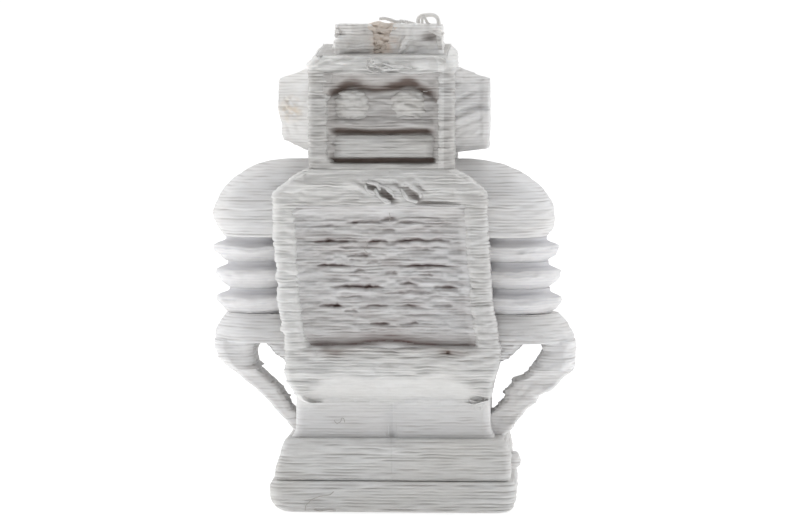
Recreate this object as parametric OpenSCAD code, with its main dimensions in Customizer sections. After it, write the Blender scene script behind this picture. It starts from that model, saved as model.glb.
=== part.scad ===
// Small standing toy robot, made as one layered plastic deposit.
// Z is up, the face looks along -Y, and the origin is on the table
// under the middle of the overall width and depth.

/* [Base] */
// Width of the bottom slab
slab_w = 24.8; // [22:0.1:27]
// Depth of the bottom slab
slab_d = 15.6; // [14:0.1:18]
// Height of the bottom slab
slab_h = 3.1; // [2.6:0.1:3.6]
// Radius of the slab's upright and lower side edges
slab_r = 1.5; // [0.8:0.1:2]
// Width of the pair of feet
foot_w = 23.8; // [22:0.1:24.4]
// Depth of the feet
foot_d = 14.8; // [13.4:0.1:15.4]
// Height of the feet
foot_h = 4.2; // [3.6:0.1:5]
// Width of the pair of legs
leg_w = 19.6; // [18:0.1:20.4]
// Depth of the legs
leg_d = 12.6; // [12:0.1:13]

/* [Torso] */
// Width of the torso
torso_w = 21.6; // [21:0.1:22.4]
// Height of the torso's underside above the table
torso_z = 11.2; // [10.6:0.1:11.6]
// Height of the torso
torso_h = 23.2; // [22.8:0.1:23.6]
// Width of the torso's top corner chamfers
chamfer_w = 3.2; // [2:0.1:4]
// Depth of the recess in the chest
recess_d = 0.7; // [0.4:0.05:0.9]

/* [Head] */
// Width of the head
head_w = 14.7; // [13.6:0.1:15.6]
// Height of the head at its front
head_h = 11.2; // [10.8:0.1:11.6]
// Rise of the head's top from front to back
head_rise = 1.4; // [0:0.1:1.8]
// Radius of the eye domes
eye_r = 1.6; // [1.2:0.05:1.8]
// Radius of the ear cones where they meet the head
ear_r1 = 4.35; // [3.6:0.05:4.6]
// Radius of the ear cones at their outer ends
ear_r2 = 3.1; // [2.4:0.05:3.5]
// Length of the ear cones
ear_l = 3.2; // [2.4:0.1:3.8]
// Width of the small block on top of the head
cap_w = 10.8; // [9:0.1:11.4]
// Depth of the small block on top of the head
cap_d = 8.4; // [7:0.1:9]

/* [Arms] */
// Distance of each arm's axis from the centre line
arm_x = 12.9; // [12.7:0.05:13.1]
// Radius of the arm at its ridges
ridge_r = 4.65; // [4.3:0.05:4.9]
// Radius of the arm in its grooves
groove_r = 3.55; // [3.3:0.05:3.8]
// Radius of the hand's palm
palm_r = 5.65; // [5.2:0.05:5.8]
// Depth of each breakaway strut
strut_d = 5.2; // [3:0.1:7]

/* [Deposit] */
// Sideways creep of the upper body, as a share of the built one
lean = 1.0; // [0:0.1:1.2]
// Thickness of the outer walls
wall = 0.8; // [0.6:0.05:0.9]
// Thickness of the floors and ceilings
skin = 0.9; // [0.6:0.1:1]
// Thickness of the walls of the inner grid
grid_t = 0.4; // [0.35:0.05:0.6]
// Spacing of the walls of the inner grid
grid_p = 3.2; // [2.4:0.1:5]
// Radius of a loose strand
strand_r = 0.21; // [0.18:0.01:0.26]

/* [Hidden] */
$fn = 64;
e = 0.01;
foot_z = slab_h;
leg_z = foot_z + foot_h;
leg_top = torso_z;
torso_top = torso_z + torso_h;
hw = torso_w / 2;
chamfer_h = 2.2;
chest_y = -6.2;            // front of the torso's own wall
front_y = -7.2;            // front of the chest's frame
back_y = 6.4;
head_z = torso_top;
head_fy = -6.9;
head_y = -6.1;             // front of the head's own wall
head_by = 5.6;
hh = head_w / 2;
ear_z = head_z + 5.9;
cap_h = 3.0;
cap_top = head_z + head_h + 0.3 + cap_h;
panel_t = 0.3;
row_t = 0.35;
white = [0.90, 0.90, 0.89];
cool = [0.84, 0.85, 0.87];
warm = [0.86, 0.84, 0.80];
grid_c = [0.78, 0.74, 0.70];
strut_c = [0.93, 0.93, 0.94];

// The body creeps towards -X as it rises: x of its centre line at height z.
function cx(z) = 0.2 + lean * lookup(z, [[0, 0], [16.5, -0.1], [21, -0.8], [24, -0.95], [26.5, -1.15],
                                         [30, -1.3], [34.3, -1.3], [34.4, -1.18], [45.8, -1.18]]);
cap_x = 0.2 - 0.65 * lean;

// Heights at which the torso's sides change direction.
side_z = [16.5, 21, 24, 26.5, 30];

// Front view outline of the torso, moved in by d, between heights z0 and z1.
function torso_pts(d, z0, z1) = concat(
  [[cx(z0) + hw - 1.1 - d, z0], [cx(z0) + hw - 0.15 - d, z0 + 0.7]],
  [for (z = side_z) [cx(z) + hw - d, z]],
  [[cx(30) + hw - d, torso_top - chamfer_h - d * 0.6],
   [cx(30) + hw - chamfer_w - d * 0.4 - (torso_top - z1) * 0.1, z1],
   [cx(30) - hw + chamfer_w + d * 0.4 + (torso_top - z1) * 0.1, z1],
   [cx(30) - hw + d, torso_top - chamfer_h - d * 0.6]],
  [for (i = [len(side_z) - 1:-1:0]) [cx(side_z[i]) - hw + d, side_z[i]]],
  [[cx(z0) - hw + 0.15 + d, z0 + 0.7], [cx(z0) - hw + 1.1 + d, z0]]);

// A front view outline given depth from y0 back to y1.
module front_prism(y0, y1) { translate([0, y1, 0]) rotate([90, 0, 0]) linear_extrude(y1 - y0) children(); }

// Plan outline with rounded corners.
module plan_block(w, d, h, r, x = 0) {
  translate([x, 0, 0]) linear_extrude(h) union() {
    square([w - 2 * r, d], center = true);
    square([w, d - 2 * r], center = true);
    for (i = [-1, 1], j = [-1, 1]) translate([i * (w / 2 - r), j * (d / 2 - r)]) circle(r);
  }
}

// Front view rectangle from (x0, z0) to (x1, z1) with round corners.
module soft_rect(x0, z0, x1, z1, r) {
  translate([x0 + r, z0]) square([x1 - x0 - 2 * r, z1 - z0]);
  translate([x0, z0 + r]) square([x1 - x0, z1 - z0 - 2 * r]);
  for (x = [x0 + r, x1 - r], z = [z0 + r, z1 - r]) translate([x, z]) circle(r);
}

// Crossed upright walls filling a region w wide, d deep and h high from height z.
module grid(w, d, z, h, x = 0, p = grid_p) {
  n = ceil((w + d) / p / 2);
  translate([x, 0, z]) for (a = [45, -45]) rotate([0, 0, a])
    for (i = [-n:n]) translate([-(w + d), i * p - grid_t / 2, 0]) cube([2 * (w + d), grid_t, h]);
}

// ---------- base ----------
module slab_outer() {
  intersection() {
    plan_block(slab_w, slab_d, slab_h, slab_r, cx(0));
    front_prism(-slab_d, slab_d) union() {
      translate([cx(0) - slab_w / 2, slab_r]) square([slab_w, slab_h - slab_r]);
      translate([cx(0) - slab_w / 2 + slab_r, 0]) square([slab_w - 2 * slab_r, slab_r]);
      for (i = [-1, 1]) translate([cx(0) + i * (slab_w / 2 - slab_r), slab_r]) circle(slab_r);
    }
  }
}
module slab_cavity() translate([cx(0) - slab_w / 2 + slab_r, -slab_d / 2 + slab_r, skin])
  cube([slab_w - 2 * slab_r, slab_d - 2 * slab_r, slab_h - 2 * skin]);
module base_slab() color(white) difference() { slab_outer(); slab_cavity(); }
module base_infill() color(grid_c) intersection() {
  slab_cavity();
  grid(slab_w, slab_d, skin, slab_h - 2 * skin, cx(0));
}

// One foot: s is -1 on the robot's side towards -X and 1 on the other.
module foot_half(s, d = 0, t = 0) {
  w = foot_w / 2;
  translate([cx(5), 0, foot_z + t]) linear_extrude(foot_h - 2 * t) intersection() {
    union() {
      square([foot_w - 2 - 2 * d, foot_d - 2 * d], center = true);
      square([foot_w - 2 * d, foot_d - 2 - 2 * d], center = true);
      for (i = [-1, 1], j = [-1, 1]) translate([i * (w - 1 - d), j * (foot_d / 2 - 1 - d)]) circle(1);
    }
    if (s < 0) translate([-w - 1, -foot_d]) square([w + 1 - d, 2 * foot_d]);
    else translate([d, -foot_d]) square([w + 1, 2 * foot_d]);
  }
}
// Shallow upright crease down the middle of the feet.
module crease(y, z, h, r) translate([cx(5), y, z]) rotate([0, 0, 45]) cube([r, r, 2 * h], center = true);
module foot(s) color(white) difference() {
  foot_half(s);
  foot_half(s, wall, skin);
  crease(-foot_d / 2, foot_z, foot_h + 1, 0.5);
}
module foot_infill(s) color(grid_c) intersection() {
  foot_half(s, wall, skin);
  grid(foot_w, foot_d, foot_z + skin, foot_h - 2 * skin, cx(5));
}

// One leg: a short upright block with a round front edge beside the middle.
module leg_plan(s, d = 0) {
  w = leg_w / 2;
  r = 1.3;
  translate([cx(9), 0]) mirror([s < 0 ? 1 : 0, 0]) union() {
    translate([d, -leg_d / 2 + r]) square([w - 2 * d, leg_d - 2 * r]);
    translate([r, -leg_d / 2 + d]) square([w - 2 * r, leg_d - 2 * d]);
    for (x = [r, w - r], y = [-leg_d / 2 + r, leg_d / 2 - r]) translate([x, y]) circle(r - d);
  }
}
module leg(s) color(white) translate([0, 0, leg_z]) linear_extrude(leg_top - leg_z) difference() {
  leg_plan(s);
  leg_plan(s, wall);
}
module leg_infill(s) color(grid_c) intersection() {
  translate([0, 0, leg_z]) linear_extrude(leg_top - leg_z) leg_plan(s, wall);
  grid(leg_w, leg_d, leg_z, leg_top - leg_z, cx(9));
}

// ---------- torso ----------
module torso_outer() front_prism(chest_y, back_y) polygon(torso_pts(0, torso_z, torso_top));
module torso_cavity() front_prism(chest_y + wall, back_y - wall) polygon(torso_pts(wall, torso_z + skin, torso_top - skin));
module torso_shell() color(white) difference() { torso_outer(); torso_cavity(); }
module torso_infill() color(grid_c) intersection() {
  torso_cavity();
  grid(torso_w + 4, 14, torso_z, torso_h, cx(24));
}

// Corners of the opening in the chest's frame.
rec_z0 = torso_z + 5.3;
rec_z1 = torso_top - 3.75;
function rec_x0(z) = cx(z) - hw + 2.35;
function rec_x1(z) = cx(z) + hw - 2.35;
module recess_front(d = 0) polygon(concat(
  [[rec_x0(rec_z0) + d, rec_z0 + d], [rec_x1(rec_z0) - d, rec_z0 + d]],
  [for (z = [21, 24, 26.5, 30]) [rec_x1(z) - d, z]],
  [[rec_x1(30) - d, rec_z1 - d], [rec_x0(30) + d, rec_z1 - d]],
  [for (z = [30, 26.5, 24, 21]) [rec_x0(z) + d, z]]));
frame_z0 = torso_z + 2.6;
// The frame steps in towards its front face.
module chest_frame() color(white) difference() {
  for (q = [[0, chest_y, chest_y - 0.5], [0.2, chest_y - 0.5, chest_y - 0.8], [0.45, chest_y - 0.8, front_y]])
    front_prism(q[2], q[1]) intersection() {
      polygon(torso_pts(q[0], torso_z, torso_top - q[0] * 0.6));
      translate([-30, frame_z0 + q[0] * 1.6]) square([60, 40]);
    }
  front_prism(front_y - 1, chest_y + 1) recess_front();
}
module chest_panel() color(cool) front_prism(chest_y - panel_t, chest_y) recess_front();

// Low dashes on the chest's panel: each is [centre from the centre line, width].
module dashes(z, h, list) color(cool) for (q = list)
  front_prism(chest_y - panel_t - row_t, chest_y - panel_t)
    translate([cx(z) + q[0], 0]) soft_rect(-q[1] / 2, z - h / 2, q[1] / 2, z + h / 2, h / 2 - e);
module chest_row_1() dashes(28.6, 0.9, [[-1.9, 3.6], [2.1, 3.2]]);
module chest_row_2() dashes(26.7, 0.9, [[-4.8, 4.2], [-0.5, 2], [4.2, 5]]);
module chest_row_3() dashes(24.4, 0.9, [[-4.8, 3.2], [-0.9, 1.6], [1.6, 1.4], [4.6, 3.2]]);
module chest_row_4() dashes(22.3, 0.9, [[-2.4, 4.8], [2.2, 2.2], [5.8, 2.2]]);
module chest_row_5() dashes(20.2, 0.8, [[-5.8, 2], [-1.7, 2.6], [2.0, 2.4], [5.6, 1.6]]);
module chest_row_6() dashes(18.5, 0.8, [[-1.2, 1.6], [1.8, 1.6]]);
// Raised swelling at the middle of the recess's lower edge.
module belly_ridge() color(cool) front_prism(chest_y - panel_t - 0.45, chest_y - panel_t)
  translate([cx(17) - 0.2, rec_z0]) intersection() {
    translate([0, -3.4]) circle(4.3);
    translate([-5, 0]) square([10, 2]);
  }
// Turned-down lip under the torso's front corner.
module corner_curl() color(warm) difference() {
  translate([cx(12) + hw - 2.9, -5.2, torso_z]) rotate([0, 90, 0]) cylinder(r = 0.75, h = 1.9);
  translate([cx(12) + hw - 4, -5.2, torso_z]) rotate([0, 90, 0]) cylinder(r = 0.35, h = 4);
  translate([0, -8, torso_z]) cube([20, 10, 3]);
}
// Lump of spare plastic on the side of one foot.
module hip_blob() color(warm) difference() {
  translate([cx(5) + foot_w / 2 - 0.15, -2.5, foot_z + 1.5]) sphere(0.95);
  translate([cx(5), -8, 0]) cube([foot_w / 2, 16, 12]);
}

// ---------- head ----------
hx = cx(40);
function head_top(y) = head_z + head_h + head_rise * (y - head_fy) / (head_by - head_fy);
module head_side(y0, y1, z0, d = 0) translate([hx - hh - 1, 0, 0]) rotate([90, 0, 90]) linear_extrude(head_w + 2)
  polygon([[y0, z0], [y1, z0], [y1, head_top(y1) - d], [y0, head_top(y0) - d]]);
module head_shell() color(white) difference() {
  intersection() {
    head_side(head_y, head_by, head_z);
    front_prism(head_y, head_by) soft_rect(hx - hh, head_z - 1, hx + hh, head_z + head_h + head_rise, 0.7);
  }
  head_cavity();
}
module head_cavity() intersection() {
  head_side(head_y + wall, head_by - wall, head_z + skin, skin);
  translate([hx - hh + wall, -10, head_z]) cube([head_w - 2 * wall, 20, 20]);
}
module head_infill() color(grid_c) intersection() {
  head_cavity();
  grid(head_w, 13, head_z, head_h + 3, hx);
}
face_x0 = hx - hh + 2.1;
face_x1 = hx + hh - 1.75;
face_z0 = head_z + 0.5;
face_z1 = head_z + 9.6;
module face_opening() soft_rect(face_x0, face_z0, face_x1, face_z1, 0.9);
module face_frame() color(white) difference() {
  intersection() {
    head_side(head_fy, head_y, head_z);
    front_prism(head_fy, head_y) soft_rect(hx - hh, head_z - 1, hx + hh, head_z + head_h + 1, 0.7);
  }
  front_prism(head_fy - 1, head_y + 1) face_opening();
  for (s = [-1, 1]) translate([hx + s * hh, head_fy, head_z + 6]) rotate([0, 0, 45]) cube([0.6, 0.6, 14], center = true);
}
module face_panel() color(cool) front_prism(head_y - 0.1, head_y) face_opening();
eye_z = head_z + 6.3;
module eye(s) color(white) difference() {
  translate([hx + (s < 0 ? -2.95 : 2.7), head_y + eye_r - 0.85, eye_z]) sphere(eye_r);
  translate([-20, head_y - 0.1, eye_z - 3]) cube([40, 6, 6]);
}
module mouth_bar() color(white) front_prism(head_y - 0.75, head_y - 0.1)
  soft_rect(face_x0 + 0.55, face_z0 + 0.95, face_x1 - 0.1, face_z0 + 2.95, 0.8);
module ear(s) color(white) translate([hx + s * hh, -0.5, ear_z]) rotate([0, s * 90, 0])
  difference() {
    cylinder(r1 = ear_r1, r2 = ear_r2, h = ear_l);
    translate([0, 0, -e]) cylinder(r1 = ear_r1 - 1.2, r2 = ear_r2 - 1.2, h = ear_l - skin);
  }

// Small open block on the head: its front wall is torn in the middle.
module cap_plan(d = 0) translate([cap_x - cap_w / 2 + d, -cap_d / 2 + d]) square([cap_w - 2 * d, cap_d - 2 * d]);
module above_head(z1, d = 0) translate([-15, 0, 0]) rotate([90, 0, 90]) linear_extrude(30)
  polygon([[-6, head_top(-6) + d], [5.6, head_top(5.6) + d], [5.6, z1], [-6, z1]]);
module cap_gap() front_prism(-cap_d / 2 - 1, -cap_d / 2 + wall)
  polygon([[cap_x - 1.5, 44], [cap_x - 0.4, 44], [cap_x + 1.2, cap_top - 0.5], [cap_x - 2.1, cap_top - 0.5]]);
module head_cap() color(warm) difference() {
  intersection() { linear_extrude(cap_top) cap_plan(); above_head(cap_top); }
  translate([0, 0, head_z]) linear_extrude(cap_top - 0.6 - head_z) cap_plan(wall);
  intersection() { cap_gap(); above_head(cap_top + 1, 0.3); }
}
module cap_infill() color(grid_c) intersection() {
  linear_extrude(cap_top - 0.6) cap_plan(wall);
  above_head(cap_top - 0.6);
  grid(cap_w, cap_d, head_z, 20, cap_x, 2.4);
}
// A loose strand rests on the block's roof by one end, and another stands up as a loop.
module rod(a, b, r) translate(a) let (v = b - a) rotate([0, acos(v[2] / norm(v)), atan2(v[1], v[0])]) cylinder(r = r, h = norm(v));
module cap_strand() color(warm)
  rod([cap_x - 1, -2.6, cap_top + 0.6], [cap_x + 4.8, -3.4, cap_top + strand_r], strand_r);
loop_r = 0.9;
module cap_loop() color(warm) translate([cap_x + 4.1, -1.8, cap_top]) rotate([90, 0, 0])
  rotate_extrude(angle = 180) translate([loop_r, 0]) circle(strand_r, $fn = 32);

// ---------- arms ----------
// The shoulder is the common part of a front view ellipse, a round plan and a round side view.
sh_a = 8.2;
sh_b = 5.8;
sh_z = torso_top - 4.9;
module shoulder_outer(s) intersection() {
  front_prism(-6, 6) translate([cx(30) + s * 9.4, sh_z])
    polygon(concat([[s * -2, -2.1], [s * (sh_a - 1), -2.1]],
      [for (t = [-14:4:90]) [s * sh_a * cos(t), sh_b * sin(t)]], [[s * -2, sh_b]]));
  translate([0, 0, 20]) linear_extrude(20) union() {
    translate([cx(30) + s * arm_x, 0]) circle(5.3);
    translate([cx(30) + (s < 0 ? -arm_x : 9.8), -5.3]) square([arm_x - 9.8, 10.6]);
  }
  translate([-25, 0, 27.3]) rotate([90, 0, 90]) linear_extrude(50) union() {
    translate([0, 3]) circle(5.3);
    translate([-5.3, -2]) square([10.6, 5]);
  }
}
module shoulder(s) color(white) difference() {
  shoulder_outer(s);
  translate([cx(30) + s * arm_x, 0, 20]) cylinder(r = groove_r - wall, h = 9);
  translate([cx(30) + s * arm_x, 0, 28.3]) cylinder(r = 3.3, h = 3.2);
  torso_outer();
}
// Bellows ridges, each from one groove down to the next.
bz = [27.4, 24.9, 22.2, 19.55];
module bellows(s, i) color(white) difference() {
  translate([cx((bz[i] + bz[i + 1]) / 2) + s * arm_x, 0, 0]) rotate_extrude() polygon([
    [groove_r - wall, bz[i + 1]], [groove_r, bz[i + 1]], [ridge_r - 0.1, bz[i] - 1.25],
    [ridge_r, bz[i] - 0.95], [ridge_r - 0.15, bz[i] - 0.7], [groove_r, bz[i]], [groove_r - wall, bz[i]]]);
  torso_outer();
}
cuff_z = 16.8;
module cuff(s) color(white) difference() {
  translate([cx(cuff_z) + s * arm_x, 0, 0]) rotate_extrude() polygon([
    [0, cuff_z], [palm_r, cuff_z], [palm_r - 0.35, cuff_z + 1], [groove_r + 0.75, bz[3] - 0.15], [groove_r + 0.5, bz[3]],
    [groove_r - wall, bz[3]], [groove_r - wall, cuff_z + 1.1], [0, cuff_z + 1.1]]);
  torso_outer();
}
// Outer finger: curves in below the palm; s as for the feet.
finger_z = 14;
module outer_finger(s) color(white) intersection() {
  front_prism(-4.2, 4.2) polygon([for (p = [[18.5, cuff_z], [18.6, 16.2], [18.3, 15.2], [17.7, finger_z],
    [13.75, finger_z], [14.3, 14.8], [14.5, 15.8], [14.4, cuff_z]]) [cx(finger_z) + s * p[0], p[1]]]);
  translate([cx(cuff_z) + s * arm_x, 0, 10]) cylinder(r = palm_r, h = 8);
}
// Inner finger: a short stub against the torso's side.
module inner_finger(s) color(white) difference() {
  intersection() {
    front_prism(-3.4, 3.4) polygon([for (p = [[13.0, cuff_z], [12.8, 16.2], [11.6, 15.2], [9.5, 14.8],
      [9.5, cuff_z]]) [cx(finger_z) + s * p[0], p[1]]]);
    translate([cx(cuff_z) + s * arm_x, 0, 10]) cylinder(r = palm_r, h = 8);
  }
  torso_outer();
}
module arm_infill(s) color(grid_c) difference() {
  intersection() {
    union() {
      for (i = [0:2]) translate([cx((bz[i] + bz[i + 1]) / 2) + s * arm_x, 0, bz[i + 1]]) cylinder(r = groove_r - wall - 0.15, h = bz[i] - bz[i + 1]);
      translate([cx(cuff_z) + s * arm_x, 0, cuff_z + 1.1]) cylinder(r = groove_r - wall - 0.15, h = bz[3] - cuff_z - 1.1);
      translate([cx(30) + s * arm_x, 0, bz[0]]) cylinder(r = groove_r - wall - 0.15, h = 1.2);
      translate([cx(30) + s * arm_x, 0, 28.3]) cylinder(r = 3.3, h = 3.2);
    }
    grid(12, 12, cuff_z, 18, cx(24) + s * arm_x, 2.8);
  }
  torso_outer();
}
// Breakaway strut from the outer finger down to the leg and foot.
module strut(s) color(strut_c) difference() {
  front_prism(-strut_d / 2, strut_d / 2) polygon([
    [cx(finger_z) + s * 17.4, finger_z], [cx(finger_z) + s * 13.8, finger_z],
    [cx(9) + s * leg_w / 2, leg_z + 2.1], [cx(9) + s * leg_w / 2, leg_z],
    [cx(9) + s * (leg_w / 2 + 0.9), leg_z]]);
  torso_outer();
}

module left_foot() foot(-1);
module right_foot() foot(1);
module left_foot_infill() foot_infill(-1);
module right_foot_infill() foot_infill(1);
module left_leg() leg(-1);
module right_leg() leg(1);
module left_leg_infill() leg_infill(-1);
module right_leg_infill() leg_infill(1);
module left_eye() eye(-1);
module right_eye() eye(1);
module left_ear() ear(-1);
module right_ear() ear(1);
module left_shoulder() shoulder(-1);
module right_shoulder() shoulder(1);
module left_bellows_1() bellows(-1, 0);
module left_bellows_2() bellows(-1, 1);
module left_bellows_3() bellows(-1, 2);
module right_bellows_1() bellows(1, 0);
module right_bellows_2() bellows(1, 1);
module right_bellows_3() bellows(1, 2);
module left_cuff() cuff(-1);
module right_cuff() cuff(1);
module left_outer_finger() outer_finger(-1);
module right_outer_finger() outer_finger(1);
module left_inner_finger() inner_finger(-1);
module right_inner_finger() inner_finger(1);
module left_arm_infill() arm_infill(-1);
module right_arm_infill() arm_infill(1);
module left_strut() strut(-1);
module right_strut() strut(1);

base_slab();
base_infill();
left_foot();
right_foot();
left_foot_infill();
right_foot_infill();
left_leg();
right_leg();
left_leg_infill();
right_leg_infill();
torso_shell();
torso_infill();
chest_frame();
chest_panel();
chest_row_1();
chest_row_2();
chest_row_3();
chest_row_4();
chest_row_5();
chest_row_6();
belly_ridge();
corner_curl();
hip_blob();
head_shell();
head_infill();
face_frame();
face_panel();
left_eye();
right_eye();
mouth_bar();
left_ear();
right_ear();
head_cap();
cap_infill();
cap_strand();
cap_loop();
left_shoulder();
right_shoulder();
left_bellows_1();
left_bellows_2();
left_bellows_3();
right_bellows_1();
right_bellows_2();
right_bellows_3();
left_cuff();
right_cuff();
left_outer_finger();
right_outer_finger();
left_inner_finger();
right_inner_finger();
left_arm_infill();
right_arm_infill();
left_strut();
right_strut();
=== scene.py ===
import math

import bpy
import numpy as np
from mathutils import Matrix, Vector


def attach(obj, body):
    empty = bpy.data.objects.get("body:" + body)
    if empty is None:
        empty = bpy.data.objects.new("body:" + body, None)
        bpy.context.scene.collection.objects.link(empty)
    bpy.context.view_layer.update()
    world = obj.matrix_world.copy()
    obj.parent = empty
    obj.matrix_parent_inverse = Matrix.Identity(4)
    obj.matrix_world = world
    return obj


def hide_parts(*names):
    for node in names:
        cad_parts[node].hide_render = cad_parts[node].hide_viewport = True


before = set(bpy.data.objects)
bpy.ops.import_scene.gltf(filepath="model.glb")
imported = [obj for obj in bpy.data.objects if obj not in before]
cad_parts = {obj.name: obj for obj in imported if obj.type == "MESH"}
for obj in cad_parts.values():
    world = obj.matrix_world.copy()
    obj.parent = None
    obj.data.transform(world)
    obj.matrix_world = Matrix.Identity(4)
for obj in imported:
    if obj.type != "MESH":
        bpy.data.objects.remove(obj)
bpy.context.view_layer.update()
NODE_NAMES = set(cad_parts)

# ------------------------------------------------------------------ numbers
# Everything below is in millimetres in the row frame and is scaled on the way
# into Blender. One deposit layer is LH high, and all pieces share the layers.
LH = 0.305
UP = 36


def ease(a, b, t):
    t = np.clip((np.asarray(t, float) - a) / (b - a), 0, 1)
    return t * t * (3 - 2 * t)


def bump1(x, c, w):
    return np.exp(-((x - c) / w) ** 2)


# ------------------------------------------------------------------ noise
def _rand(ix, iy, iz, seed):
    m = np.int64(0xFFFFFFFF)
    h = (ix * 374761393 + iy * 668265263 + iz * 1274126177 + seed * 974634777) & m
    h = ((h ^ (h >> 13)) * 1103515245) & m
    h = ((h ^ (h >> 15)) * 739982445) & m
    return ((h ^ (h >> 16)) & 0xFFFFFF) / float(0x7FFFFF) - 1.0


def vnoise(x, y, z, seed=0):
    x, y, z = np.broadcast_arrays(np.asarray(x, float), np.asarray(y, float), np.asarray(z, float))
    fx, fy, fz = np.floor(x), np.floor(y), np.floor(z)
    ix, iy, iz = fx.astype(np.int64), fy.astype(np.int64), fz.astype(np.int64)
    tx, ty, tz = x - fx, y - fy, z - fz
    tx, ty, tz = (t * t * (3 - 2 * t) for t in (tx, ty, tz))
    out = 0.0
    for dx in (0, 1):
        wx = tx if dx else 1 - tx
        for dy in (0, 1):
            wy = ty if dy else 1 - ty
            for dz in (0, 1):
                wz = tz if dz else 1 - tz
                out = out + wx * wy * wz * _rand(ix + dx, iy + dy, iz + dz, seed)
    return out


def streak(x, y, i, seed):
    """How far a layer's bead wanders outwards: long along the layer, new on each one."""
    i = np.asarray(i, float)
    return (0.30 * vnoise(x / 3.0, y / 3.0, i, seed)
            + 0.34 * vnoise(x / 1.2, y / 1.2, i, seed + 5)
            + 0.20 * vnoise(x / 0.45, y / 0.45, i, seed + 9)
            + 0.75 * vnoise(x / 3.6, y / 3.6, i * 0.43 + 0.21, seed + 13)
            + 0.55 * vnoise(x / 1.5, y / 1.5, i * 0.57 + 0.4, seed + 17))


# ------------------------------------------------------------------ mesh helpers
def put_mesh(name, verts, quads, tris=None, painted_shading=None):
    """A mesh object from arrays in millimetres, smooth shaded. The last argument is
    painted shade at each vertex, 0 to 1, in crevices, holes and under ledges,
    or painted light, 0 to -1, on faces where light falls, and is kept as an attribute."""
    me = bpy.data.meshes.new(name)
    v = np.asarray(verts, float) * 0.001
    q = np.asarray(quads, np.int64).reshape(-1, 4)
    t = np.zeros((0, 3), np.int64) if tris is None else np.asarray(tris, np.int64).reshape(-1, 3)
    me.vertices.add(len(v))
    me.vertices.foreach_set("co", v.astype(np.float32).ravel())
    loops = np.concatenate([q.ravel(), t.ravel()]).astype(np.int32)
    me.loops.add(len(loops))
    me.loops.foreach_set("vertex_index", loops)
    starts = np.concatenate([np.arange(len(q)) * 4, len(q) * 4 + np.arange(len(t)) * 3]).astype(np.int32)
    me.polygons.add(len(starts))
    me.polygons.foreach_set("loop_start", starts)
    me.polygons.foreach_set("use_smooth", np.ones(len(starts), bool))
    me.update(calc_edges=True)
    if painted_shading is not None:
        at = me.attributes.new("painted_shading", "FLOAT", "POINT")
        at.data.foreach_set("value", np.clip(np.asarray(painted_shading, float), -1, 1).astype(np.float32))
    me.validate()
    o = bpy.data.objects.new(name, me)
    bpy.context.scene.collection.objects.link(o)
    return o


def outward(P):
    """Unit outward normals of a closed counter-clockwise contour."""
    t = np.roll(P, -1, 0) - np.roll(P, 1, 0)
    n = np.stack([t[:, 1], -t[:, 0]], 1)
    k = np.linalg.norm(n, axis=1, keepdims=True)
    return n / np.where(k < 1e-9, 1, k)


def raster(x, y, layer, pitch=0.42):
    """Height pattern of laid lines on a level surface, in -1..0."""
    a = 1 if int(layer) % 2 else -1
    u = (x + a * y) / math.sqrt(2) + 0.05 * vnoise(x / 1.2, y / 1.2, 3.3, 41)
    return -0.5 + 0.5 * np.cos(2 * np.pi * u / pitch)


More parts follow.
